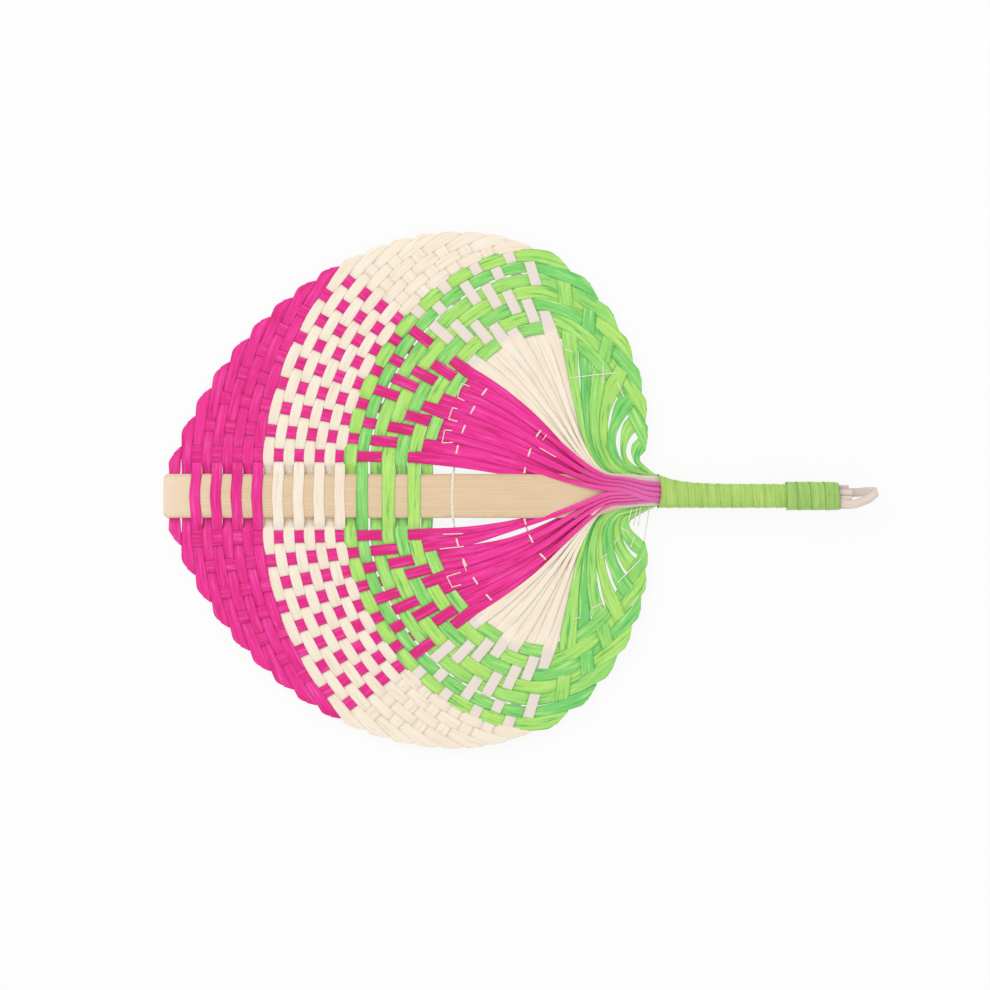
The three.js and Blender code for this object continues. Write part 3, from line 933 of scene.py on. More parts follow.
    def radial_course(self, half: HalfLeaf, strip: int) -> Course:
        """Lays the whole stretch from the handle's end to the fold.

        Args:
            half: The half of the leaf.
            strip: The strip's number.

        Returns:
            The stretch, with the way through the handle, to the last arc and through the weave.
        """
        plan, side = self.plan, half.side
        shares = np.linspace(1, 0, self.gather_rows + 1)[:-1]
        spots = at_length(self.routes[side, strip], shares)
        start = self.weave_rise if plan.is_over(strip, plan.count) else -self.weave_rise
        level = self.face_of(strip) * self.weave_rise
        height = level + (start - level) * smooth(1 - shares / self.settle)
        height = height + (self.layer_height(side, strip) - height) * eased(shares, self.sink_span)
        near = smooth((spots[:, 0] - self.neck_x) / (self.collar_x - self.neck_x))
        offsets = mix(min(self.neck_offset(strip), self.widest_bow), self.collar_offset(side, strip), near)
        height = height - self.face_of(strip) * self.dome * offsets**2 * eased(shares, self.dome_span)
        roll = np.radians(self.shingle_roll) * eased(shares, self.roll_span)
        inward, outward = self.gather_sides(half, strip, shares)
        drift = (outward - inward) / 2 * eased(shares, self.spread_span)
        spots = spots - sideways(spots) * drift[:, None]
        widths = (inward + outward) / 2
        tone = eased(shares, self.shade_span)
        gather = Course(half.in_fan(spots), height, widths, self.rolled(half, strip, roll), tone)
        weave = self.crossing_course(half, strip, widths[-1])
        return self.handle_course(half, strip).followed_by(gather).followed_by(weave)

    def crossing_course(self, half: HalfLeaf, strip: int, first_half: float) -> Course:
        """Lays the stretch that weaves through the arcs.

        Args:
            half: The half of the leaf.
            strip: The strip's number.
            first_half: Half of the strip's width where this stretch starts.

        Returns:
            The stretch from the last arc to the fold.
        """
        plan, hue = self.plan, self.plan.hue(strip)
        arcs = list(range(plan.count, strip, -1))
        if arcs:
            knots = np.array([half.crossing(strip, arc) for arc in arcs] + [half.fold(strip)])
            levels = np.array([1.0 if plan.is_over(strip, arc) else -1.0 for arc in arcs])
            levels = np.append(levels * self.weave_rise, -self.crease_radius)
            holds = np.append(np.full(len(arcs), self.radial_hold), self.radial_fold_hold)
        else:
            knots = np.array([half.points[strip - 1], half.fold(strip)])
            levels = np.array([-self.weave_rise, -self.crease_radius])
            holds = np.full(2, self.last_hold)
        flat, places = spline(knots, self.substeps)
        run = run_of(flat)
        height = wave(run, np.interp(np.arange(len(knots)), places, run), levels, holds)
        wide = self.radial_half[hue]
        on_green = wide if hue is Hue.GREEN else min(self.radial_half_on_green, wide)
        over_green = eased(plan.count - places - plan.plain, self.on_green_span)
        blend = np.clip(run / self.gather_blend, 0, 1)
        widths = first_half * (1 - blend) + mix(wide, on_green, over_green) * blend
        if strip == 1:
            start, length = self.first_flare_span
            widths = widths + self.first_flare * np.clip((run - start * run[-1]) / (length * run[-1]), 0, 1)
        zeros = np.zeros(len(flat))
        return Course(half.in_fan(flat), height, widths, zeros, over_green if hue is Hue.CREAM else zeros)

    def arc_course(self, arc: int) -> Course:
        """Lays the arc of one strip.

        Args:
            arc: The strip's number.

        Returns:
            The stretch from its upper fold across the slat to its lower fold.
        """
        plan, hue = self.plan, self.plan.hue(arc)
        slat_level = -self.slat_rise if plan.is_over(0, arc) else self.slat_rise
        x = plan.last_arc_x - plan.arc_offset(arc) - (self.first_arc_out if arc == 1 else 0.0)
        stations = []
        for side in Side:
            half = self.halves[side]
            part = [(half.fold(arc), self.crease_radius, self.arc_fold_hold)]
            for strip in range(arc - 1, 0, -1):
                level = -self.weave_rise if plan.is_over(strip, arc) else self.weave_rise
                part.append((half.crossing(strip, arc), level, self.arc_hold))
            part.append((np.array([x, self.slat_edge]), slat_level, self.slat_hold))
            if side is Side.UPPER:
                middle_x = x - self.slat_bow * (1 - arc / plan.count)
                part.append((np.array([middle_x, 0.0]), slat_level, self.slat_hold))
            part = [(half.in_fan(flat), level, hold) for flat, level, hold in part]
            stations += part if side is Side.UPPER else part[::-1]
        knots, levels, holds = (np.array(column) for column in zip(*stations))
        flat, places = spline(knots, self.substeps)
        run = run_of(flat)
        spots = np.interp(np.arange(len(knots)), places, run)
        height = wave(run, spots, levels, holds)
        plain = self.arc_half[hue]
        if hue is Hue.GREEN:
            plain = plain + self.green_spread[plan.number_in_hue(arc) - 1]
        nearness = np.abs(run[:, None] - spots[None]).min(axis=1)
        in_front = np.clip(height / self.weave_rise, 0, 1)
        bulge = self.bulge * in_front * np.clip(1 - nearness / self.bulge_reach, 0, 1)
        uneven = self.unevenness * np.sin(run / self.uneven_length + arc * self.uneven_phase)
        folding = smooth(1 - np.minimum(run, run[-1] - run) / self.fold_approach)
        zeros = np.zeros(len(flat))
        return Course(flat, height, mix(plain + bulge + uneven, self.fold_half[hue], folding), zeros, zeros)

    def crease(self, strip: int, before: Ribbon, after: Ribbon, point: np.ndarray, up: int) -> Ribbon:
        """Makes the fold between two stretches of a strip.

        Args:
            strip: The strip's number.
            before: The stretch that arrives.
            after: The stretch that leaves.
            point: The middle of the crease, in the fan's plane.
            up: 1 where the strip rises over the crease, and -1 where it goes down round it.

        Returns:
            The rows between the last row of one stretch and the first row of the other.
        """
        hue = self.plan.hue(strip)
        flatness = self.first_flatness if strip == 1 else self.corner_flatness[hue]
        start = (before.left[-1] + before.right[-1])[:2] / 2
        end = (after.left[0] + after.right[0])[:2] / 2
        arriving, leaving = unit(point - start), unit(end - point)
        outward = unit(arriving - leaving)
        onward = unit(arriving + leaving) * up
        half_turn = math.acos(float(np.clip(arriving @ leaving, -1, 1))) / 2
        reach = np.array([outward[1], -outward[0], 0.0]) * up * self.fold_half[hue] / math.sin(half_turn)
        left_is_outer = bool(reach[:2] @ onward > 0)
        pull = np.append(onward, 0.0) * self.corner_rounding[hue]
        turns = np.linspace(0, math.pi, self.crease_turns)[::up]
        faces = [np.append(outward, 0.0) * math.sin(turn) - UPWARD * math.cos(turn) for turn in turns]
        rounded = [np.append(point, 0.0) + face * self.crease_radius for face in faces]
        edges = []
        for is_left, sign in ((True, 1.0), (False, -1.0)):
            is_outer = is_left == left_is_outer
            corners = [spot + reach * sign for spot in rounded]
            ends = [corner - pull if is_outer else corner for corner in corners]
            first = before.left[-1] if is_left else before.right[-1]
            last = after.left[0] if is_left else after.right[0]
            sides = []
            for away, corner, home in ((first, corners[0], ends[0]), (ends[-1], corners[-1], last)):
                turned = mix(corner, (away + home) / 2, flatness if is_outer else 1.0)
                sides.append([bend_through(away, turned, home, share) for share in self.crease_steps])
            edges.append(np.array(sides[0] + ends + sides[1]))
        steps = len(self.crease_steps)
        facing = np.array([faces[0]] * steps + faces + [faces[-1]] * steps)
        rows = len(facing)
        return Ribbon(edges[0], edges[1], facing, np.full(rows, self.thickness), np.zeros(rows))

    def strip_ribbon(self, strip: int) -> Ribbon:
        """Makes one whole strip, from one end in the handle to the other.

        Args:
            strip: The strip's number, from 1 at the leaf's tip.

        Returns:
            The strip's ribbon.
        """
        arc = self.arc_course(strip)
        width = self.fold_half[self.plan.hue(strip)]
        ahead = self.heading_rows
        ways_out = (arc.flat[ahead] - arc.flat[0], arc.flat[-1 - ahead] - arc.flat[-1])
        stretches, trims = [], []
        for half, way_out in zip(self.halves.values(), ways_out):
            radial = self.radial_course(half, strip)
            way_in = unit(radial.flat[-1] - radial.flat[-1 - ahead])
            half_turn = math.acos(float(np.clip(way_in @ unit(way_out), -1, 1))) / 2
            trims.append(width / math.tan(half_turn) + self.fold_clearance)
            stretches.append(self.trimmed(radial, trims[-1], width))
        run = arc.run()
        arc = arc.cut((run > trims[0]) & (run < run[-1] - trims[1]))
        first = Ribbon.along(stretches[0], -1, self.thickness)
        middle = Ribbon.along(arc, 1, self.thickness)
        last = Ribbon.along(stretches[1].turned_round(), -1, self.thickness)
        folds = [half.in_fan(half.fold(strip)) for half in self.halves.values()]
        rising = self.crease(strip, first, middle, folds[0], 1)
        falling = self.crease(strip, middle, last, folds[1], -1)
        return first.joined(rising).joined(middle).joined(falling).joined(last)

    def trimmed(self, radial: Course, trim: float, width: float) -> Course:
        """Cuts a fanned stretch short of its fold and brings its width to that of the fold.

        Args:
            radial: The stretch from the handle's end to the fold.
            trim: How much of it to leave off.
            width: Half of the strip's width at the fold.

        Returns:
            The shorter stretch.
        """
        run = radial.run()
        left = run[-1] - trim - run
        near = np.clip(1 - left / self.fold_blend, 0, 1)
        return replace(radial, half=radial.half * (1 - near) + width * near).cut(left > 0)

    def build(self) -> list[bpy.types.Object]:
        """Makes every strip.

        Returns:
            The strips' objects, in order from the leaf's tip.
        """
        pieces = []
        dice = random.Random(self.seed)
        for strip in range(1, self.plan.count + 1):
            name = self.plan.name(strip)
            ribbon = self.strip_ribbon(strip)
            tint = self.tint(strip, ribbon, dice.random())
            piece = ribbon.build(f"plaited_{name}", self.place, strip * self.fibre_step, tint)
            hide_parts(name)
            pieces.append(piece)
        return pieces

    def tint(self, strip: int, ribbon: Ribbon, luck: float) -> Amount:
        """Gives a strip its place in the range of its dye.

        Args:
            strip: The strip's number.
            ribbon: Its ribbon. Magenta is dull where it crosses the arcs and bright where it fans out, and
                green is a little lighter in the arcs than in the lobes.
            luck: A number from 0 to 1 that sets this strip apart.

        Returns:
            One place for the whole strip, or one for each row of its ribbon.
        """
        hue = self.plan.hue(strip)
        if hue is Hue.CREAM:
            return luck
        middle = (ribbon.left + ribbon.right)[:, :2] / 2
        if hue is Hue.GREEN:
            own = self.green_tints[self.plan.number_in_hue(strip) - 1]
            in_arc = np.clip((self.lobes_start_x - middle[:, 0]) / self.arc_lift_length, 0, 1)
            return np.minimum(own + self.arc_lift * in_arc, 1)
        heading = np.abs(np.gradient(middle, axis=0))
        upper, lower = (half.in_fan(half.points[strip - 1]) for half in self.halves.values())
        last_arc = np.where(middle[:, 1:] > 0, upper, lower)
        away = np.linalg.norm(middle - last_arc, axis=1)
        fanned = np.clip((middle[:, 0] - last_arc[:, 0] + self.bright_before) / self.bright_blend, 0, 1)
        on_cream = np.clip((away - self.cream_from) / self.cream_blend, 0, 1)
        woven = mix(self.dull_on_green, self.dull_on_cream, on_cream) + self.dull_luck * luck
        ray = mix(woven, self.bright + self.bright_luck * luck, fanned)
        return np.where(heading[:, 0] > heading[:, 1], ray, self.arc_tint + self.arc_luck * luck)


@dataclass
class BambooSlat:
    """The flat slat down the leaf's middle, with a rounded tip and a narrower tongue in the handle."""

    place: FanPlace
    length: float = 285.5
    half_width: float = 9.3
    thickness: float = 2.0
    corner: float = 2.2
    corner_rows: int = 9
    first_row_gap: float = 2.0
    row_gap: float = 2.5
    tongue_half: float = 3.3
    taper_start: float = 176.0
    taper_length: float = 30.0
    tip_thinness: float = 0.72
    tip_length: float = 1.6
    pale_tip: float = 42.0
    wavers: tuple[tuple[float, float, float], ...] = ((0.07, 0.11, 0.0), (0.05, 0.31, 1.0))
    waver_from: float = 6.0
    stops: tuple[float, ...] = (-1.0, -0.985, -0.94, -0.8, -0.4, 0.0, 0.4, 0.8, 0.94, 0.985, 1.0)
    fullness: tuple[float, ...] = (0.45, 0.72, 0.92, 0.99, 1.0, 1.0, 1.0, 0.99, 0.92, 0.72, 0.45)
    fibre_seed: float = 3.1
    tint: float = 0.5

    def half_at(self, x: float) -> float:
        """Measures half of the slat's width.

        Args:
            x: The distance from the slat's tip.

        Returns:
            Half of the width there.
        """
        if x < self.corner:
            back = self.corner - x
            return self.half_width - self.corner + math.sqrt(max(self.corner**2 - back**2, 0.0))
        return mix(self.half_width, self.tongue_half, smooth((x - self.taper_start) / self.taper_length))

    def build(self) -> bpy.types.Object:
        """Makes the slat.

        Returns:
            The slat's object.
        """
        turns = np.linspace(0, math.pi / 2, self.corner_rows)
        body = np.arange(self.corner + self.first_row_gap, self.length, self.row_gap)
        xs = np.concatenate([self.corner * (1 - np.cos(turns)), body, [self.length]])
        halves = np.array([self.half_at(float(x)) for x in xs])
        waver = sum(size * np.sin(xs * rate + phase) for size, rate, phase in self.wavers)
        waver = waver * (xs > self.waver_from)
        zeros = np.zeros(len(xs))
        left = np.column_stack([xs, halves + waver, zeros])
        right = np.column_stack([xs, -halves + waver, zeros])
        face = np.tile(UPWARD, (len(xs), 1))
        thin = self.thickness * mix(self.tip_thinness, 1.0, np.clip(xs / self.tip_length, 0, 1))
        pale = 1 - np.clip(xs / self.pale_tip, 0, 1)
        ribbon = Ribbon(left, right, face, thin, pale, self.stops, self.fullness)
        piece = ribbon.build("split_bamboo_slat", self.place, self.fibre_seed, self.tint)
        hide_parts("bamboo_slat")
        return piece


@dataclass
class HandleForm:
    """The handle's outside: a rounded square that is wider at its collar and flat underneath."""

    collar_x: float = 208.5
    width: float = 10.3
    height: float = 11.0
    flare: float = 2.2
    shift: float = 2.2
    flare_length: float = 8.0
    flat: float = 0.53
    power: float = 3.0

    def point(self, x: float, angle: float, extra: float, depth: float) -> np.ndarray:
        """Finds a point on a skin of the handle.

        Args:
            x: The distance from the slat's tip.
            angle: The way round, in radians, from the side of the upper half over the front.
            extra: How much thicker this part of the handle is.
            depth: How far under the outside the point lies.

        Returns:
            The point in the fan's frame.
        """
        fade = math.exp(-max(x - self.collar_x, 0.0) / self.flare_length)
        across = self.width / 2 + self.flare * fade + extra / 2 - depth
        deep = self.height / 2 + extra / 2
        c, s = math.cos(angle), math.sin(angle)
        radius = (abs(c) ** self.power + abs(s) ** self.power) ** (-1 / self.power)
        z = max(s * radius * (deep - depth), -(deep - self.flat - depth))
        return np.array([x, c * radius * across + self.shift * fade, z])


@dataclass
class Winding:
    """A flat strip wound round the handle, each turn lying over the edge of the one before it."""

    place: FanPlace
    form: HandleForm
    name: str
    start_x: float
    end_x: float
    turns: int
    extra: float
    seed: int
    thickness: float = 0.42
    overlap: float = 0.75
    lap: float = 0.3
    front_ease: float = 0.65
    mouth: float = 0.0
    steps: int = 40
    unevenness: float = 0.18
    lag: float = 0.75
    least_width: float = 1.0
    turn_length: float = 34.0
    fibre_seed: float = 1.7
    turn_seed: float = 0.31
    turn_start: float = 0.25
    tint: float = 0.5
    stops: tuple[float, ...] = (-1.0, -0.94, -0.8, -0.4, 0.0, 0.4, 0.8, 0.94, 1.0)
    rounding: tuple[float, ...] = (0.2, 0.06, 0.0, 0.0, 0.0, 0.0, 0.0, 0.06, 0.2)

    @property
    def pitch(self) -> float:
        """The way along the handle from one turn to the next."""
        return (self.end_x - self.start_x) / self.turns

    def ring(self, turn: float, offsets: np.ndarray) -> tuple[list[np.ndarray], float]:
        """Cuts across the strip.

        Args:
            turn: How many turns lie before the cut.
            offsets: How far each turn's edge is moved along the handle.

        Returns:
            Points over the strip's outside and back over its inside, and the strip's width.
        """
        angle = turn * 2 * math.pi - math.pi / 2
        lead = turn + self.front_ease * math.sin(turn * 2 * math.pi) / (2 * math.pi)
        drift, next_drift = np.interp([turn, turn + 1.0], np.arange(len(offsets)), offsets)
        seam = self.start_x + self.pitch * (lead - self.lag) + drift
        next_seam = seam + self.pitch + next_drift - drift
        mouth_x = self.start_x + self.mouth * max(math.sin(angle), 0.0) ** 2
        start = float(np.clip(seam, mouth_x, self.end_x - self.least_width))
        stop = float(np.clip(next_seam + self.overlap, mouth_x + self.least_width, self.end_x))
        shares = (np.array(self.stops) + 1) / 2
        outer, inner = [], []
        for share, rounding in zip(shares, self.rounding):
            x, depth = start + (stop - start) * share, self.lap * share + rounding
            outer.append(self.form.point(x, angle, self.extra, depth))
            inner.append(self.form.point(x, angle, self.extra, depth + self.thickness - 2 * rounding))
        return outer + inner[::-1], stop - start

    def build(self) -> bpy.types.Object:
        """Makes the winding.

        Returns:
            The winding's object.
        """
        dice = random.Random(self.seed)
        most = self.unevenness
        offsets = np.array([dice.uniform(-most, most) * self.pitch for _ in range(self.turns + 2)])
        offsets[0] = offsets[-1] = offsets[-2] = 0.0
        round_stops = np.array([*self.stops, *self.stops[::-1]])
        rows, ring = self.turns * self.steps + 1, len(round_stops)
        points, strand = [], []
        for step in range(rows):
            turn = step / self.steps
            spots, width = self.ring(turn, offsets)
            points += spots
            own = self.seed * self.fibre_seed + int(turn + self.turn_start) * self.turn_seed
            strand += [(turn * self.turn_length, stop * width / 2, own) for stop in round_stops]
        attributes = {
            "strand": np.array(strand),
            "edge": np.tile(np.abs(round_stops), rows),
            "tone": np.zeros(rows * ring),
            "tint": np.full(rows * ring, self.tint),
        }
        shared = self.place.to_shared(np.array(points))
        piece = make_object(f"wound_{self.name}", shared, loft_faces(rows, ring), attributes)
        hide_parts(self.name)
        return piece


@dataclass
class HangingLoop:
    """The bent strip at the handle's end."""

    place: FanPlace
    half_width: float = 1.85
    thickness: float = 0.6
    front: tuple[tuple[float, float, float], ...] = (
        (271.0, -1.9, 4.3), (281.0, -2.0, 4.25), (286.0, -3.0, 4.2), (289.8, -3.55, 4.2),
        (294.0, -2.4, 3.85),
    )
    back: tuple[tuple[float, float, float], ...] = (
        (293.0, 1.5, -3.8), (289.0, 1.4, -4.3), (285.5, 1.4, -4.5), (272.0, 1.4, -4.5),
    )
    bend_x: float = 298.3
    bend_radius: float = 2.7
    bend_rows: int = 13
    tip_y: float = 1.9
    front_shift: float = 2.3
    tip_lean: float = 0.3
    lean_from: float = 288.0
    lean_length: float = 8.0
    substeps: tuple[float, ...] = (0.0, 0.33, 0.66)
    fibre_seed: float = 5.9
    tint: float = 0.4

    def build(self) -> bpy.types.Object:
        """Makes the loop.

        Returns:
            The loop's object.
        """
        bend = []
        for turn in np.linspace(math.pi / 2, -math.pi / 2, self.bend_rows):
            shift = self.front_shift * (1 - math.cos(turn)) if turn > 0 else 0.0
            x = self.bend_x + math.cos(turn) * self.bend_radius
            bend.append((x, self.tip_y - shift, math.sin(turn) * self.bend_radius))
        line, _ = spline(np.array([*self.front, *bend, *self.back]), self.substeps)
        lean = -self.tip_lean * np.clip((line[:, 0] - self.lean_from) / self.lean_length, 0, 1)
        across = unit(np.column_stack([lean, np.ones(len(line)), np.zeros(len(line))]))
        face = unit(np.cross(np.gradient(line, axis=0), across))
        reach = across * self.half_width
        thick = np.full(len(line), self.thickness)
        ribbon = Ribbon(line + reach, line - reach, face, thick, np.linspace(0, 1, len(line)))
        piece = ribbon.build("bent_hanging_loop", self.place, self.fibre_seed, self.tint)
        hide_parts("hanging_loop")
        return piece


@dataclass
class CutEnds:
    """The gathered ends of the strips, cut off a little beyond the winding."""

    place: FanPlace
    seed: int = 5
    layers: int = 7
    lowest: float = -3.6
    layer_gap: float = 1.2
    reach: float = 4.9
    corner: float = 0.9
    outset: float = 0.5
    least_room: float = 1.6
    half_widths: tuple[float, float] = (0.75, 1.25)
    thickness: float = 0.95
    gap: float = 0.12
    start_x: float = 282.0
    winding_end_x: float = 285.5
    lengths: tuple[float, float] = (3.6, 4.9)
    most_tilt: float = 0.12
    tip_length: float = 0.2
    tip_share: float = 0.88
    fibre_step: float = 3.7
    tint: float = 0.5

    def build(self) -> bpy.types.Object:
        """Makes the ends, layer on layer.

        Returns:
            The ends' object.
        """
        dice = random.Random(self.seed)
        parts: list[bpy.types.Object] = []
        for layer in range(self.layers):
            z = self.lowest + layer * self.layer_gap
            reach = self.reach - self.corner * abs(z) / abs(self.lowest)
            y = -reach - self.outset
            while y < reach - self.least_room:
                half = dice.uniform(*self.half_widths)
                end = self.winding_end_x + dice.uniform(*self.lengths)
                tilt = dice.uniform(-self.most_tilt, self.most_tilt)
                xs = np.array([self.start_x, mix(self.start_x, end, 0.5), end - self.tip_length, end])
                rows = len(xs)
                middle = np.column_stack([xs, np.full(rows, y + half), np.full(rows, z + tilt)])
                wide = np.array([half, half, half, half * self.tip_share])
                side = np.column_stack([np.zeros(rows), wide, wide * tilt])
                face, thick = np.tile(UPWARD, (rows, 1)), np.full(rows, self.thickness)
                ribbon = Ribbon(middle + side, middle - side, face, thick, np.full(rows, dice.random()))
                number = len(parts)
                parts.append(ribbon.build(f"end_{number}", self.place, number * self.fibre_step, self.tint))
                y += 2 * half + self.gap
        return join_pieces(parts, "cut_strip_ends")


@dataclass(frozen=True)
class StitchRow:
    """A row of short stitches across the fanned magenta strips.

    It lies a share of the way from the last arc to the collar. Its first short stitches lie at one distance
    from the slat's middle line, so many on the upper half and so many on the lower one. One long stitch may
    cross the slat, and thin thread shows beside the row.
    """

    name: str
    share: float
    first: float
    upper: int
    lower: int
    over_slat: bool
    extra: tuple[Way, ...]


STITCH_ROWS = (
    StitchRow("binding_thread_inner", share=0.12, first=19.8, upper=4, lower=4, over_slat=True, extra=(
        [(129.4, 46.2), (126.0, 47.5), (124.2, 41.6), (127.2, 40.2)],
        [(124.2, 36.8), (122.2, 37.2), (120.5, 32.4), (124.3, 31.4)],
        [(121.9, 27.6), (118.8, 27.8), (117.8, 22.4), (122.4, 22.6)],
        [(118.2, -16.2), (126.6, -15.9)], [(116.9, -22.4), (127.0, -21.3)],
        [(125.6, -32.2), (119.8, -34.0), (122.0, -38.5), (125.8, -37.4)],
        [(135.0, -49.6), (130.6, -51.8)], [(126.4, -27.4), (128.0, -31.6)],
    )),
    StitchRow("binding_thread_outer", share=0.42, first=18.6, upper=2, lower=4, over_slat=False, extra=(
        [(158.9, 20.3), (165.6, 16.4)], [(160.4, 23.8), (161.8, 25.8)],
    )),
)
LOBE_STITCHES: dict[str, tuple[Way, ...]] = {
    "green_thread_upper": (
        [(172.2, 49.8), (182.0, 51.0), (191.2, 51.9)], [(185.7, 55.7), (185.7, 47.3)],
        [(191.6, 48.1), (194.5, 41.8)], [(169.8, 61.9), (172.8, 60.6)],
    ),
    "green_thread_lower": (
        [(181.4, -47.2), (186.9, -44.3)], [(184.7, -26.5), (187.3, -24.6)],
        [(193.1, -13.3), (197.0, -15.9)], [(190.2, -20.4), (192.4, -17.2)],
        [(197.3, -21.7), (198.9, -17.2)], [(191.8, -36.5), (201.5, -26.8)],
        [(197.9, -46.3), (200.5, -42.4)], [(173.4, -52.1), (176.0, -51.1)],
        [(196.4, -10.8), (197.8, -5.4)], [(198.8, -11.4), (200.0, -5.2)],
        [(200.6, -11.8), (201.4, -5.0)], [(203.0, -19.0), (205.2, -4.8)],
    ),
}


@dataclass
class Stitching:
    """The pale threads that tie the fanned strips side by side."""

    place: FanPlace
    leaf: PlaitedLeaf
    surface: BVHTree
    half_width: float = 0.42
    thin_half_width: float = 0.24
    lobe_gain: float = 1.15
    slat_gain: float = 0.5
    slat_edge: float = 10.4
    slat_blend: float = 1.5
    half_height: float = 0.22
    lift: float = 0.7
    swelling: float = 0.1
    swell_rate: float = 2.2
    stops: tuple[float, ...] = (-1.0, -0.8, -0.3, 0.3, 0.8, 1.0)
    fullness: tuple[float, ...] = (0.25, 0.7, 1.0, 1.0, 0.7, 0.25)
    dash: float = 3.4
    pitch: float = 9.0
    long_half: float = 9.9
    edge_dash: float = 2.2
    row_overrun: float = 1.6
    row_points: int = 160
    row_substeps: tuple[float, ...] = (0.0, 0.25, 0.5, 0.75)
    tuck: float = 0.9
    dive: float = 1.7
    dive_length: float = 0.45
    spacing: float = 0.3
    fewest_steps: int = 4
    neighbours: int = 2
    look_from: float = 30.0
    lowest_top: float = -0.9
    first_top: float = 1.0
    fibre_seed: float = 1.3
    tint: float = 0.5

    def top_at(self, spot: np.ndarray, otherwise: float) -> float:
        """Finds the height of the uppermost strip over a point of the fan's plane.

        Args:
            spot: The point.
            otherwise: The height to give where there is nothing under the point.

        Returns:
            The height in the fan's frame.
        """
        start = Vector((float(spot[0]), float(spot[1]), self.look_from))
        hit, _, _, _ = self.surface.ray_cast(start, Vector(-UPWARD), 2 * self.look_from)
        return otherwise if hit is None or hit.z < self.lowest_top else hit.z

    def heights(self, flat: np.ndarray, run: np.ndarray, stretches: Way) -> np.ndarray:
        """Lays a thread on the strips where it shows and under them elsewhere.

        Args:
            flat: The thread's points in the fan's plane.
            run: The length from its start to each of them.
            stretches: The stretches that show, as lengths from its start.

        Returns:
            The height at each point.
        """
        tops, last = [], self.first_top
        for spot in flat:
            last = self.top_at(spot, last)
            tops.append(last)
        padded = np.pad(np.array(tops), self.neighbours, mode="edge")
        shifts = range(2 * self.neighbours + 1)
        crest = np.max(np.stack([padded[shift:shift + len(flat)] for shift in shifts]), axis=0)
        inside = np.zeros(len(flat))
        for start, end in stretches:
            inside = np.maximum(inside, smooth(np.minimum(run - start, end - run) / self.dive_length + 1.0))
        return crest + self.half_height * self.lift * inside - self.dive * (1 - inside)

    def thread(
        self, name: str, lines: list[np.ndarray], shown: list[Way], widths: list[float]
    ) -> bpy.types.Object:
        """Makes one thread that shows along parts of its way and dives under the strips between them.

        Args:
            name: The solid that the thread stands for.
            lines: The ways it takes over the leaf, in the fan's plane.
            shown: For each way, the stretches that show, as lengths from its start.
            widths: Half of the thread's width on each way.

        Returns:
            The thread's object.
        """
        parts = []
        for number, (line, stretches, half_width) in enumerate(zip(lines, shown, widths)):
            length = length_of(line)
            rows = max(int(length / self.spacing), self.fewest_steps) + 1
            run = np.linspace(0, length, rows)
            flat = at_length(line, run / length)
            middle = np.column_stack([flat, self.heights(flat, run, stretches)])
            swell = 1 - self.swelling + self.swelling * np.sin(run * self.swell_rate + number)
            wide = half_width * swell[:, None]
            if half_width == self.half_width:
                on_slat = np.clip((self.slat_edge - np.abs(flat[:, 1:])) / self.slat_blend, 0, 1)
                wide = wide * (1 + self.slat_gain * on_slat)
            reach = np.column_stack([sideways(flat), np.zeros(rows)]) * wide
            face, thick = np.tile(UPWARD, (rows, 1)), np.full(rows, self.half_height * 2)
            left, right = middle + reach, middle - reach
            ribbon = Ribbon(left, right, face, thick, np.zeros(rows), self.stops, self.fullness)
            parts.append(ribbon.build(f"{name}_{number}", self.place, self.fibre_seed + number, self.tint))
        piece = join_pieces(parts, f"stitched_{name}")
        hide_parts(name)
        return piece

    def row_line(self, share: float) -> np.ndarray:
        """Draws the way of a row of stitches across the fanned magenta strips and the slat.

        Args:
            share: Where the row lies, from 0 at the last arc to 1 at the collar.

        Returns:
            Close points, from the upper half's outermost magenta strip to the lower half's.
        """
        spots = []
        for side, half in self.leaf.halves.items():
            part = [
                half.in_fan(at_length(self.leaf.routes[side, strip], np.array([share]))[0])
                for strip in range(1, self.leaf.plan.magenta + 1)
            ]
            spots += part[::-1] if side is Side.UPPER else part
        line, _ = spline(np.array(spots), self.row_substeps)
        return line

    def row(self, plan: StitchRow) -> bpy.types.Object:
        """Makes a row of stitches.

        Args:
            plan: What the row is like. It is named after the solid that it stands for.

        Returns:
            The row's object.
        """
        line = self.row_line(plan.share)
        run = run_of(line)
        middle = float(np.interp(0.0, -line[:, 1], run))
        upper_edge, lower_edge = middle - self.long_half, middle + self.long_half
        shown = [(upper_edge, lower_edge)]
        if not plan.over_slat:
            shown = [(upper_edge - self.edge_dash, upper_edge), (lower_edge, lower_edge + self.edge_dash)]
        for sense, count in ((-1, plan.upper), (1, plan.lower)):
            for step in range(count):
                centre = middle + sense * (plan.first + step * self.pitch)
                shown.append((centre - self.dash / 2, centre + self.dash / 2))
        first = max(min(start for start, _ in shown) - self.row_overrun, 0)
        last = min(max(end for _, end in shown) + self.row_overrun, run[-1])
        kept = at_length(line, np.linspace(first, last, self.row_points) / run[-1])
        lines, stretches = self.open_stitches(plan.extra)
        stretches = [[(start - first, end - first) for start, end in shown], *stretches]
        widths = [self.half_width] + [self.thin_half_width] * len(lines)
        return self.thread(plan.name, [kept, *lines], stretches, widths)

    def lobe(self, name: str, ways: tuple[Way, ...]) -> bpy.types.Object:
        """Makes the few stitches that hold the green strips of one lobe.

        Args:
            name: The solid that they stand for.
            ways: The corners of each stitch in the fan's plane.

        Returns:
            The stitches' object.
        """
        lines, shown = self.open_stitches(ways)
        return self.thread(name, lines, shown, [self.thin_half_width * self.lobe_gain] * len(lines))

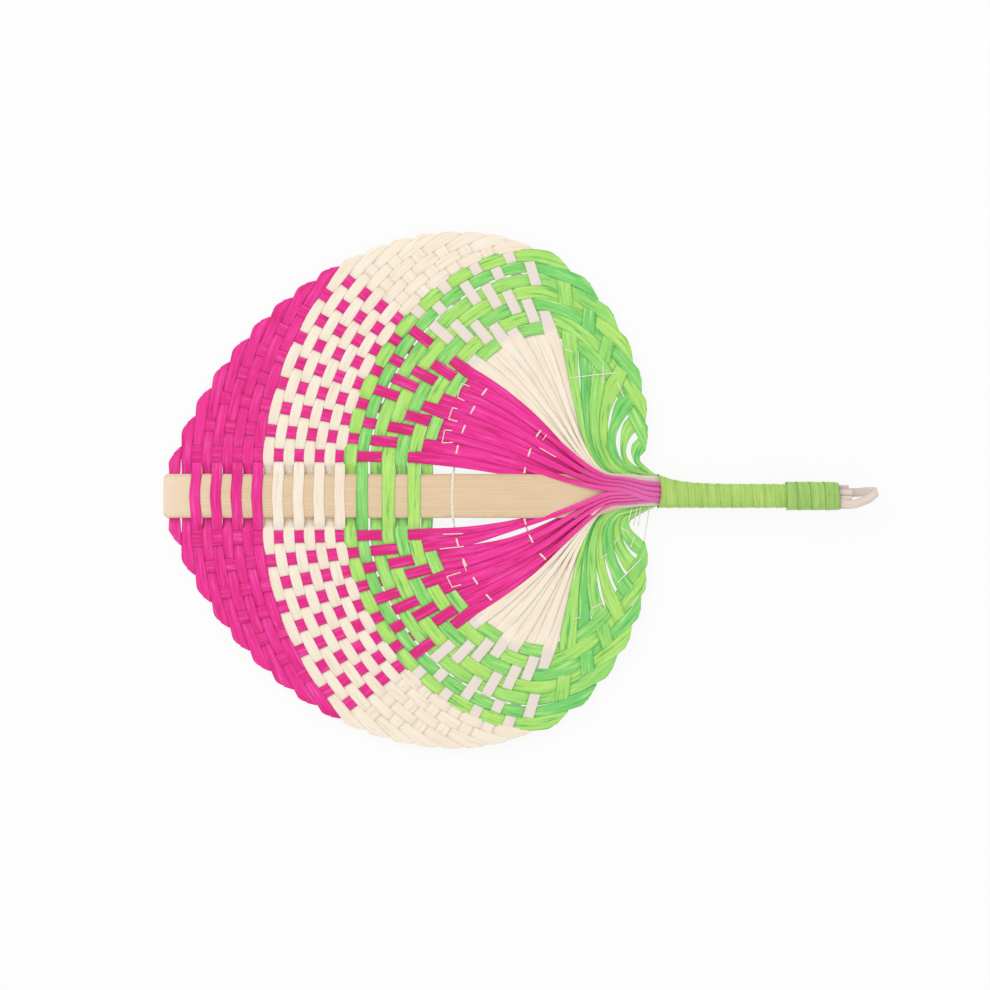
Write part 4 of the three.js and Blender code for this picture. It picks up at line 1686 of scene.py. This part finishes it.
    def open_stitches(self, ways: tuple[Way, ...]) -> tuple[list[np.ndarray], list[Way]]:
        """Turns the corners of stitches into ways with a tucked-in length at both ends.

        Args:
            ways: The corners of each stitch in the fan's plane.

        Returns:
            The ways, and the stretch of each that shows.
        """
        lines, shown = [], []
        for way in ways:
            corners = np.array(way, float)
            first, last = unit(corners[0] - corners[1]), unit(corners[-1] - corners[-2])
            line = np.vstack([corners[0] + first * self.tuck, corners, corners[-1] + last * self.tuck])
            lines.append(line)
            shown.append([(self.tuck, length_of(line) - self.tuck)])
        return lines, shown


@dataclass
class Board:
    """A node tree under construction."""

    tree: bpy.types.NodeTree
    strips_apart: float = 1.37

    def add(self, kind: str, **settings: object) -> bpy.types.Node:
        """Adds a node.

        Args:
            kind: The node's kind, as Blender names it.
            settings: Its properties, by name.

        Returns:
            The node.
        """
        node = self.tree.nodes.new(kind)
        for key, value in settings.items():
            setattr(node, key, value)
        return node

    def feed(self, node: bpy.types.Node, values: dict[str | int, Feed]) -> bpy.types.Node:
        """Gives a node its inputs.

        Args:
            node: The node.
            values: A number, a colour or an output for each input, by the input's name or place.

        Returns:
            The same node.
        """
        for key, value in values.items():
            if isinstance(value, bpy.types.NodeSocket):
                self.tree.links.new(value, node.inputs[key])
            else:
                node.inputs[key].default_value = value
        return node

    def attribute(self, name: str, output: str = "Fac") -> bpy.types.NodeSocket:
        """Reads a value that the meshes carry on their points."""
        return self.add("ShaderNodeAttribute", attribute_name=name).outputs[output]

    def maths(self, operation: str, first: Feed, second: Feed) -> bpy.types.NodeSocket:
        """Calculates with two numbers or outputs.

        Args:
            operation: What to do with them, as Blender names it.
            first: A number or an output.
            second: A number or an output.

        Returns:
            The result's socket.
        """
        node = self.add("ShaderNodeMath", operation=operation)
        return self.feed(node, {0: first, 1: second}).outputs[0]

    def remap(self, value: bpy.types.NodeSocket, span: Span) -> bpy.types.NodeSocket:
        """Maps a value smoothly from one range to another, held at both ends.

        Args:
            value: The value.
            span: The range that it comes from and the range that it goes to.

        Returns:
            The mapped value's socket.
        """
        node = self.add("ShaderNodeMapRange", interpolation_type="SMOOTHSTEP")
        ends = dict(zip(("From Min", "From Max", "To Min", "To Max"), span))
        return self.feed(node, {"Value": value, **ends}).outputs["Result"]

    def blend(self, share: Feed, first: Feed, second: Feed) -> bpy.types.NodeSocket:
        """Mixes two colours.

        Args:
            share: How much of the second colour to take, a number or an output.
            first: The first colour, or an output.
            second: The second colour, or an output.

        Returns:
            The mixed colour's socket.
        """
        node = self.add("ShaderNodeMix", data_type="RGBA")
        return self.feed(node, {0: share, 6: first, 7: second}).outputs[2]

    def noise(self, spot: bpy.types.NodeSocket, detail: float, roughness: float) -> bpy.types.NodeSocket:
        """Makes smooth noise with clouds about 1 wide.

        Args:
            spot: The place to read it at.
            detail: How many finer layers it has.
            roughness: How strong the finer layers are.

        Returns:
            The noise's socket.
        """
        values = {"Vector": spot, "Scale": 1.0, "Detail": detail, "Roughness": roughness}
        return self.feed(self.add("ShaderNodeTexNoise"), values).outputs["Fac"]

    def stretched(self, strand: bpy.types.NodeSocket, along: Feed, across: Feed) -> bpy.types.NodeSocket:
        """Scales the place on a strip, and keeps it apart from the places on other strips.

        Args:
            strand: The length along the strip, the way across it and the strip's own number.
            along: The scale of the length.
            across: The scale of the width.

        Returns:
            The scaled place's socket.
        """
        parts = self.feed(self.add("ShaderNodeSeparateXYZ"), {0: strand}).outputs
        scales = (along, across, self.strips_apart)
        values = {axis: self.maths("MULTIPLY", parts[axis], scale) for axis, scale in enumerate(scales)}
        return self.feed(self.add("ShaderNodeCombineXYZ"), values).outputs[0]

    def bump(self, height: bpy.types.NodeSocket, strength: float, distance: float) -> bpy.types.NodeSocket:
        """Turns a height into a bumpy surface.

        Args:
            height: The height.
            strength: How strong the bumps are.
            distance: How high they stand, in metres.

        Returns:
            The normal's socket.
        """
        values = {"Strength": strength, "Distance": distance, "Height": height}
        return self.feed(self.add("ShaderNodeBump"), values).outputs["Normal"]

    def seen_ray(self) -> bpy.types.NodeSocket:
        """Tells the rays that are looked along from those that only carry light.

        Returns:
            The socket, 1 for a straight, mirrored or let-through view and 0 for the rest.
        """
        rays = self.add("ShaderNodeLightPath").outputs
        seen = self.maths("MAXIMUM", rays["Is Camera Ray"], rays["Is Glossy Ray"])
        return self.maths("MAXIMUM", seen, rays["Is Transmission Ray"])


def new_group(
    name: str, inputs: dict[str, str], outputs: dict[str, str]
) -> tuple[Board, bpy.types.Node, bpy.types.Node]:
    """Starts a shader node group.

    Args:
        name: The group's name.
        inputs: The kind of each input socket, by name.
        outputs: The kind of each output socket, by name.

    Returns:
        The group's board, its input node and its output node.
    """
    tree = bpy.data.node_groups.new(name, "ShaderNodeTree")
    for way, sockets in (("INPUT", inputs), ("OUTPUT", outputs)):
        for key, kind in sockets.items():
            tree.interface.new_socket(name=key, in_out=way, socket_type=f"NodeSocket{kind}")
    board = Board(tree)
    return board, board.add("NodeGroupInput"), board.add("NodeGroupOutput")


def new_material(name: str) -> tuple[bpy.types.Material, Board, bpy.types.Node]:
    """Starts a material.

    Args:
        name: The material's name.

    Returns:
        The material, its board and its shader.
    """
    material = bpy.data.materials.new(name)
    material.use_nodes = True
    return material, Board(material.node_tree), material.node_tree.nodes["Principled BSDF"]


@dataclass
class SharedEffects:
    """The effects that several finishes use, each built once as a node group."""

    grain_span: Span = (0.34, 0.68, 0.0, 1.0)
    hair_fineness: float = 3.1
    broad_height: float = 0.6
    hair_height: float = 0.5
    light_span: Span = (0.5, 0.7, 0.0, 1.0)
    deep_span: Span = (0.3, 0.48, 1.0, 0.0)
    ragged_scale: tuple[float, float] = (0.7, 0.2)
    raggedness: float = 0.3
    # Where the darker edge starts: partly wear, partly painted shade where strips meet.
    worn_and_shaded_span: Span = (0.96, 1.14, 0.0, 1.0)
    grain: bpy.types.NodeTree = field(init=False)
    dye: bpy.types.NodeTree = field(init=False)
    wear_and_shade: bpy.types.NodeTree = field(init=False)

    def __post_init__(self) -> None:
        """Builds the groups."""
        self.grain = self.fibre_grain()
        self.dye = self.patchy_dye()
        self.wear_and_shade = self.edge_wear_and_shade()

    def fibre_grain(self) -> bpy.types.NodeTree:
        """Builds long fibres that run along a strip.

        Returns:
            The group, which puts out a mask and a height.
        """
        board, start, end = new_group(
            "fibre_grain",
            {"Strand": "Vector", "Fineness": "Float", "Run": "Float"},
            {"Grain": "Float", "Height": "Float"},
        )
        given = start.outputs
        spot = board.stretched(given["Strand"], given["Run"], given["Fineness"])
        broad = board.noise(spot, detail=3.0, roughness=0.6)
        finer = board.maths("MULTIPLY", given["Fineness"], self.hair_fineness)
        hair = board.noise(board.stretched(given["Strand"], given["Run"], finer), detail=2.0, roughness=0.5)
        grain = board.remap(broad, self.grain_span)
        broad_height = board.maths("MULTIPLY", grain, self.broad_height)
        height = board.maths("ADD", broad_height, board.maths("MULTIPLY", hair, self.hair_height))
        board.feed(end, {"Grain": grain, "Height": height})
        return board.tree

    def patchy_dye(self) -> bpy.types.NodeTree:
        """Builds dye that has taken unevenly along a strip.

        Returns:
            The group, which puts out a colour.
        """
        board, start, end = new_group(
            "patchy_dye",
            {
                "Strand": "Vector", "Base": "Color", "Light": "Color", "Deep": "Color",
                "Amount": "Float", "Along": "Float", "Across": "Float",
            },
            {"Color": "Color"},
        )
        given = start.outputs
        spot = board.stretched(given["Strand"], given["Along"], given["Across"])
        cloud = board.noise(spot, detail=3.0, roughness=0.55)
        lift = board.maths("MULTIPLY", board.remap(cloud, self.light_span), given["Amount"])
        sink = board.maths("MULTIPLY", board.remap(cloud, self.deep_span), given["Amount"])
        lighter = board.blend(lift, given["Base"], given["Light"])
        board.feed(end, {"Color": board.blend(sink, lighter, given["Deep"])})
        return board.tree

    def edge_wear_and_shade(self) -> bpy.types.NodeTree:
        """Builds darker edges along a strip: partly rubbed and stained wear, partly painted shade where its
        rounded edges meet the next strips.

        Returns:
            The group, which puts out the colour with its worn and shaded edges, and its mask.
        """
        board, start, end = new_group(
            "edge_wear_and_shade",
            {"Strand": "Vector", "Edge": "Float", "Color": "Color", "Worn and shaded": "Color", "Amount": "Float"},
            {"Color": "Color", "Mask": "Float"},
        )
        given = start.outputs
        spot = board.stretched(given["Strand"], *self.ragged_scale)
        ragged = board.noise(spot, detail=2.0, roughness=0.6)
        reach = board.maths("ADD", given["Edge"], board.maths("MULTIPLY", ragged, self.raggedness))
        mask = board.maths("MULTIPLY", board.remap(reach, self.worn_and_shaded_span), given["Amount"])
        board.feed(end, {"Color": board.blend(mask, given["Color"], given["Worn and shaded"]), "Mask": mask})
        return board.tree


@dataclass(frozen=True)
class BambooFinish:
    """The look of split bamboo: its dye, its fibres and its edges, darkened by wear and by painted shade.
    Colours are written as 0xRRGGBB.
    """

    name: str
    slot: str
    base: int
    light: int
    deep: int
    tinted: int
    shaded: int
    # The darker colour at the strips' edges: partly wear and stain, partly painted shade between
    # neighbouring strips.
    worn_and_shaded: int
    roughness: float = 0.52
    smoother: float = 0.08
    rougher: float = 0.1
    fineness: float = 1.5
    run: float = 0.035
    fibres: float = 0.4
    patches: float = 0.8
    streak_along: float = 0.07
    streak_across: float = 0.7
    shading: float = 0.75
    wear_and_shade: float = 0.6
    bump: float = 0.5
    bump_height: float = 0.00012
    specular: float = 0.35

    def material(self, effects: SharedEffects) -> bpy.types.Material:
        """Builds the finish.

        Args:
            effects: The shared node groups.

        Returns:
            The material.
        """
        material, board, shader = new_material(self.name)
        strand, tone = board.attribute("strand", "Vector"), board.attribute("tone")
        deep = linear(self.deep)
        base = board.blend(board.attribute("tint"), linear(self.base), linear(self.tinted))
        dye = board.feed(board.add("ShaderNodeGroup", node_tree=effects.dye), {
            "Strand": strand, "Base": base, "Light": linear(self.light), "Deep": deep,
            "Amount": self.patches, "Along": self.streak_along, "Across": self.streak_across,
        })
        grain = board.feed(board.add("ShaderNodeGroup", node_tree=effects.grain), {
            "Strand": strand, "Fineness": self.fineness, "Run": self.run,
        })
        fibre = board.maths("MULTIPLY", grain.outputs["Grain"], self.fibres)
        fibrous = board.blend(fibre, dye.outputs["Color"], deep)
        shaded = board.blend(tone, fibrous, linear(self.shaded))
        softened = board.blend(board.maths("MULTIPLY", tone, self.shading), fibrous, shaded)
        # Darkens the edges towards the worn colour: partly wear, partly painted shade where the strips meet.
        worn_and_shaded = board.feed(board.add("ShaderNodeGroup", node_tree=effects.wear_and_shade), {
            "Strand": strand, "Edge": board.attribute("edge"), "Color": softened,
            "Worn and shaded": linear(self.worn_and_shaded), "Amount": self.wear_and_shade,
        })
        rough_span = (0.0, 1.0, self.roughness - self.smoother, self.roughness + self.rougher)
        board.feed(shader, {
            "Base Color": worn_and_shaded.outputs["Color"],
            "Roughness": board.remap(grain.outputs["Grain"], rough_span),
            "Normal": board.bump(grain.outputs["Height"], self.bump, self.bump_height),
            "Specular IOR Level": self.specular,
        })
        return material


@dataclass(frozen=True)
class ThreadFinish:
    """The look of a soft twisted thread. Colours are written as 0xRRGGBB."""

    name: str
    slot: str
    base: int
    deep: int
    ply_scale: tuple[float, float] = (1.6, 1.4)
    ply_fineness: float = 0.5
    ply_distortion: float = 1.2
    twist_span: Span = (0.1, 0.8, 0.0, 1.0)
    fluff_scale: tuple[float, float] = (3.0, 5.0)
    rough_span: Span = (0.3, 0.7, 0.7, 0.95)
    fluff_height: float = 0.4
    bump: float = 0.6
    bump_height: float = 0.0001
    sheen: float = 0.25

    def material(self) -> bpy.types.Material:
        """Builds the finish.

        Returns:
            The material.
        """
        material, board, shader = new_material(self.name)
        strand = board.attribute("strand", "Vector")
        ply = board.feed(board.add("ShaderNodeTexWave", wave_type="BANDS", bands_direction="DIAGONAL"), {
            "Vector": board.stretched(strand, *self.ply_scale),
            "Scale": self.ply_fineness, "Distortion": self.ply_distortion,
        })
        twist = board.remap(ply.outputs["Fac"], self.twist_span)
        fluff = board.noise(board.stretched(strand, *self.fluff_scale), detail=3.0, roughness=0.6)
        height = board.maths("ADD", twist, board.maths("MULTIPLY", fluff, self.fluff_height))
        board.feed(shader, {
            "Base Color": board.blend(twist, linear(self.deep), linear(self.base)),
            "Roughness": board.remap(fluff, self.rough_span),
            "Normal": board.bump(height, self.bump, self.bump_height),
            "Sheen Weight": self.sheen,
        })
        return material


# Each finish's worn colour and wear amount darken its strips' edges: partly wear, partly painted shade.
MAGENTA = BambooFinish(
    "magenta_bamboo", "magenta_strip", base=0xE41C82, light=0xFF5CB8, deep=0xD20F67, tinted=0xFF34A6,
    shaded=0xEA78BE, worn_and_shaded=0x8A1050, fibres=0.34, patches=0.75, wear_and_shade=0.45,
)
CREAM = BambooFinish(
    "cream_bamboo", "cream_strip", base=0xFFF4E0, light=0xFFF9F0, deep=0xF1DABC, tinted=0xFDEDD9,
    shaded=0xECE0DA, worn_and_shaded=0xE0CAAE, fibres=0.22, patches=0.7, wear_and_shade=0.4,
)
GREEN = BambooFinish(
    "green_bamboo", "green_strip", base=0x66D472, light=0xC8F696, deep=0x52B860, tinted=0xC0EF70,
    shaded=0xB9EA84, worn_and_shaded=0x3C9A44, fibres=0.28, patches=0.85, wear_and_shade=0.45,
)
SLAT = BambooFinish(
    "natural_bamboo", "bamboo", base=0xEED3AF, light=0xF4DFC2, deep=0xCFA97C, tinted=0xEED3AF,
    shaded=0xFCE6CE, worn_and_shaded=0xB8956E, fineness=2.6, run=0.006, fibres=0.36, patches=0.2, wear_and_shade=0.3,
)
WRAP = BambooFinish(
    "green_wrap_bamboo", "handle_wrap", base=0xB2D66A, light=0xCDE892, deep=0x92BC54, tinted=0xB6DA70,
    shaded=0x86B44A, worn_and_shaded=0x789C48, fibres=0.3, patches=0.7, wear_and_shade=0.5,
)
END_WRAP = BambooFinish(
    "dark_green_wrap_bamboo", "handle_end_wrap", base=0xA6D06C, light=0xBEE288, deep=0x86B056,
    tinted=0xA6D06C, shaded=0x74A842, worn_and_shaded=0x648C3C, fibres=0.35, patches=0.7, wear_and_shade=0.65,
)
PALE = BambooFinish(
    "pale_bamboo", "loop", base=0xF0E2D6, light=0xFAF0E6, deep=0xD6C2AE, tinted=0xE9DAD0,
    shaded=0xDCD0CA, worn_and_shaded=0xA8917C, fibres=0.35, patches=0.6, wear_and_shade=0.45,
)
THREAD = ThreadFinish("pale_thread", "thread", base=0xFFFAEE, deep=0xEADCC4)
FINISH_OF_HUE = {Hue.MAGENTA: MAGENTA, Hue.CREAM: CREAM, Hue.GREEN: GREEN}


def dress(
    piece: bpy.types.Object, finish: BambooFinish | ThreadFinish, material: bpy.types.Material
) -> None:
    """Gives a piece its material and its body, and reports it.

    Args:
        piece: The piece.
        finish: The finish that the material was built from.
        material: The material.
    """
    piece.data.materials.clear()
    piece.data.materials.append(material)
    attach(piece, BODY)
    LOG.info("%s: %d points, %s", piece.name, len(piece.data.vertices), finish.name)


@dataclass(frozen=True)
class SoftLamp:
    """A square lamp that faces the fan. Its place and its side are in metres and its power in watts."""

    name: str
    spot: tuple[float, float, float]
    size: float
    power: float

    def build(self) -> None:
        """Hangs the lamp."""
        data = bpy.data.lights.new(self.name, "AREA")
        data.size = self.size
        data.energy = self.power
        lamp = bpy.data.objects.new(self.name, data)
        lamp.location = self.spot
        lamp.rotation_mode = "QUATERNION"
        lamp.rotation_quaternion = (-Vector(self.spot)).to_track_quat("-Z", "Y")
        bpy.context.scene.collection.objects.link(lamp)


@dataclass
class Studio:
    """The pale floor, the soft lamps and the camera straight above the fan."""

    place: FanPlace
    lamps: tuple[SoftLamp, ...] = (
        SoftLamp("key_lamp", (-0.75, 0.95, 1.15), size=0.9, power=7.0),
        SoftLamp("fill_lamp", (1.0, -0.7, 1.2), size=1.2, power=3.0),
    )
    sky: float = 0.74
    floor_size: float = 30.0
    floor_colour: int = 0xF6F6F6
    floor_roughness: float = 0.9
    floor_glow: float = 0.88
    aim_x: float = 140.1
    aim_y: float = 0.4
    view_width: float = 417.8
    lens: float = 100.0
    sensor: float = 36.0
    nearest: float = 0.01
    farthest: float = 100.0

    def build(self) -> None:
        """Sets up the floor, the light and the camera."""
        self.floor()
        self.world()
        for lamp in self.lamps:
            lamp.build()
        self.camera()
        bpy.context.scene.view_settings.view_transform = "Standard"

    def floor(self) -> None:
        """Lays a wide pale floor that the camera sees as almost plain white."""
        bpy.ops.mesh.primitive_plane_add(size=self.floor_size, location=(0, 0, 0))
        floor = bpy.context.object
        floor.name = "floor"
        material, board, shader = new_material("pale_floor")
        board.feed(shader, {
            "Base Color": linear(self.floor_colour), "Roughness": self.floor_roughness,
            "Specular IOR Level": 0.0,
        })
        glow = board.feed(board.add("ShaderNodeEmission"), {"Strength": 1.0})
        share = board.maths("MULTIPLY", board.seen_ray(), self.floor_glow)
        ways = {0: share, 1: shader.outputs[0], 2: glow.outputs[0]}
        both = board.feed(board.add("ShaderNodeMixShader"), ways)
        board.feed(material.node_tree.nodes["Material Output"], {"Surface": both.outputs[0]})
        floor.data.materials.append(material)

    def world(self) -> None:
        """Makes an even sky that lights the fan, and that the camera sees as white."""
        world = bpy.data.worlds.new("studio_sky")
        world.use_nodes = True
        bpy.context.scene.world = world
        board = Board(world.node_tree)
        level = board.remap(board.seen_ray(), (0.0, 1.0, self.sky, 1.0))
        board.feed(world.node_tree.nodes["Background"], {"Strength": level, "Color": (1.0, 1.0, 1.0, 1.0)})

    def camera(self) -> None:
        """Hangs the camera straight above the fan, with the slat lying level in its view."""
        data = bpy.data.cameras.new("camera")
        data.lens = self.lens
        data.sensor_width = self.sensor
        data.clip_start, data.clip_end = self.nearest, self.farthest
        camera = bpy.data.objects.new("camera", data)
        aim = self.place.to_shared(np.array([[self.aim_x, self.aim_y, 0.0]]))[0]
        height = self.view_width * METRES * self.lens / self.sensor
        camera.location = (float(aim[0]), float(aim[1]), float(aim[2]) + height)
        bpy.context.scene.collection.objects.link(camera)
        bpy.context.scene.camera = camera


def seen_surface(pieces: list[bpy.types.Object], place: FanPlace) -> BVHTree:
    """Joins pieces into one surface in the fan's own frame, for threads to lie on.

    Args:
        pieces: The pieces.
        place: Where the fan lies.

    Returns:
        A tree that finds where a line meets them.
    """
    points: list[np.ndarray] = []
    faces: list[tuple[int, ...]] = []
    count = 0
    for piece in pieces:
        mesh = piece.data
        spots = np.empty(len(mesh.vertices) * 3)
        mesh.vertices.foreach_get("co", spots)
        points.append(place.to_fan(spots.reshape(-1, 3)))
        faces += [tuple(v + count for v in face.vertices) for face in mesh.polygons]
        count += len(mesh.vertices)
    return BVHTree.FromPolygons(np.vstack(points).tolist(), faces)


def main() -> None:
    """Builds the fan piece by piece, then the studio."""
    logging.basicConfig(level=logging.INFO, format="%(name)s: %(message)s")
    place = FanPlace.from_record(frame["record"])
    effects = SharedEffects()
    materials = {f.name: f.material(effects) for f in (MAGENTA, CREAM, GREEN, SLAT, WRAP, END_WRAP, PALE)}
    leaf = PlaitedLeaf(place)
    strips = leaf.build()
    for number, strip in enumerate(strips, start=1):
        finish = FINISH_OF_HUE[leaf.plan.hue(number)]
        dress(strip, finish, materials[finish.name])
    slat = BambooSlat(place).build()
    dress(slat, SLAT, materials[SLAT.name])
    form = HandleForm()
    wrap = Winding(
        place, form, "handle_wrap", start_x=208.5, end_x=267.6, turns=13, extra=0.0, seed=3, mouth=1.5
    )
    dress(wrap.build(), WRAP, materials[WRAP.name])
    end_wrap = Winding(
        place, form, "handle_end_wrap", start_x=262.7, end_x=285.5, turns=4, extra=1.9, seed=8, thickness=0.6
    )
    dress(end_wrap.build(), END_WRAP, materials[END_WRAP.name])
    for maker in (HangingLoop(place), CutEnds(place)):
        dress(maker.build(), PALE, materials[PALE.name])
    stitching = Stitching(place, leaf, seen_surface([*strips, slat], place))
    thread = THREAD.material()
    threads = [stitching.row(plan) for plan in STITCH_ROWS]
    threads += [stitching.lobe(name, ways) for name, ways in LOBE_STITCHES.items()]
    for piece in threads:
        dress(piece, THREAD, thread)
    Studio(place).build()


if __name__ == "__main__":
    main()
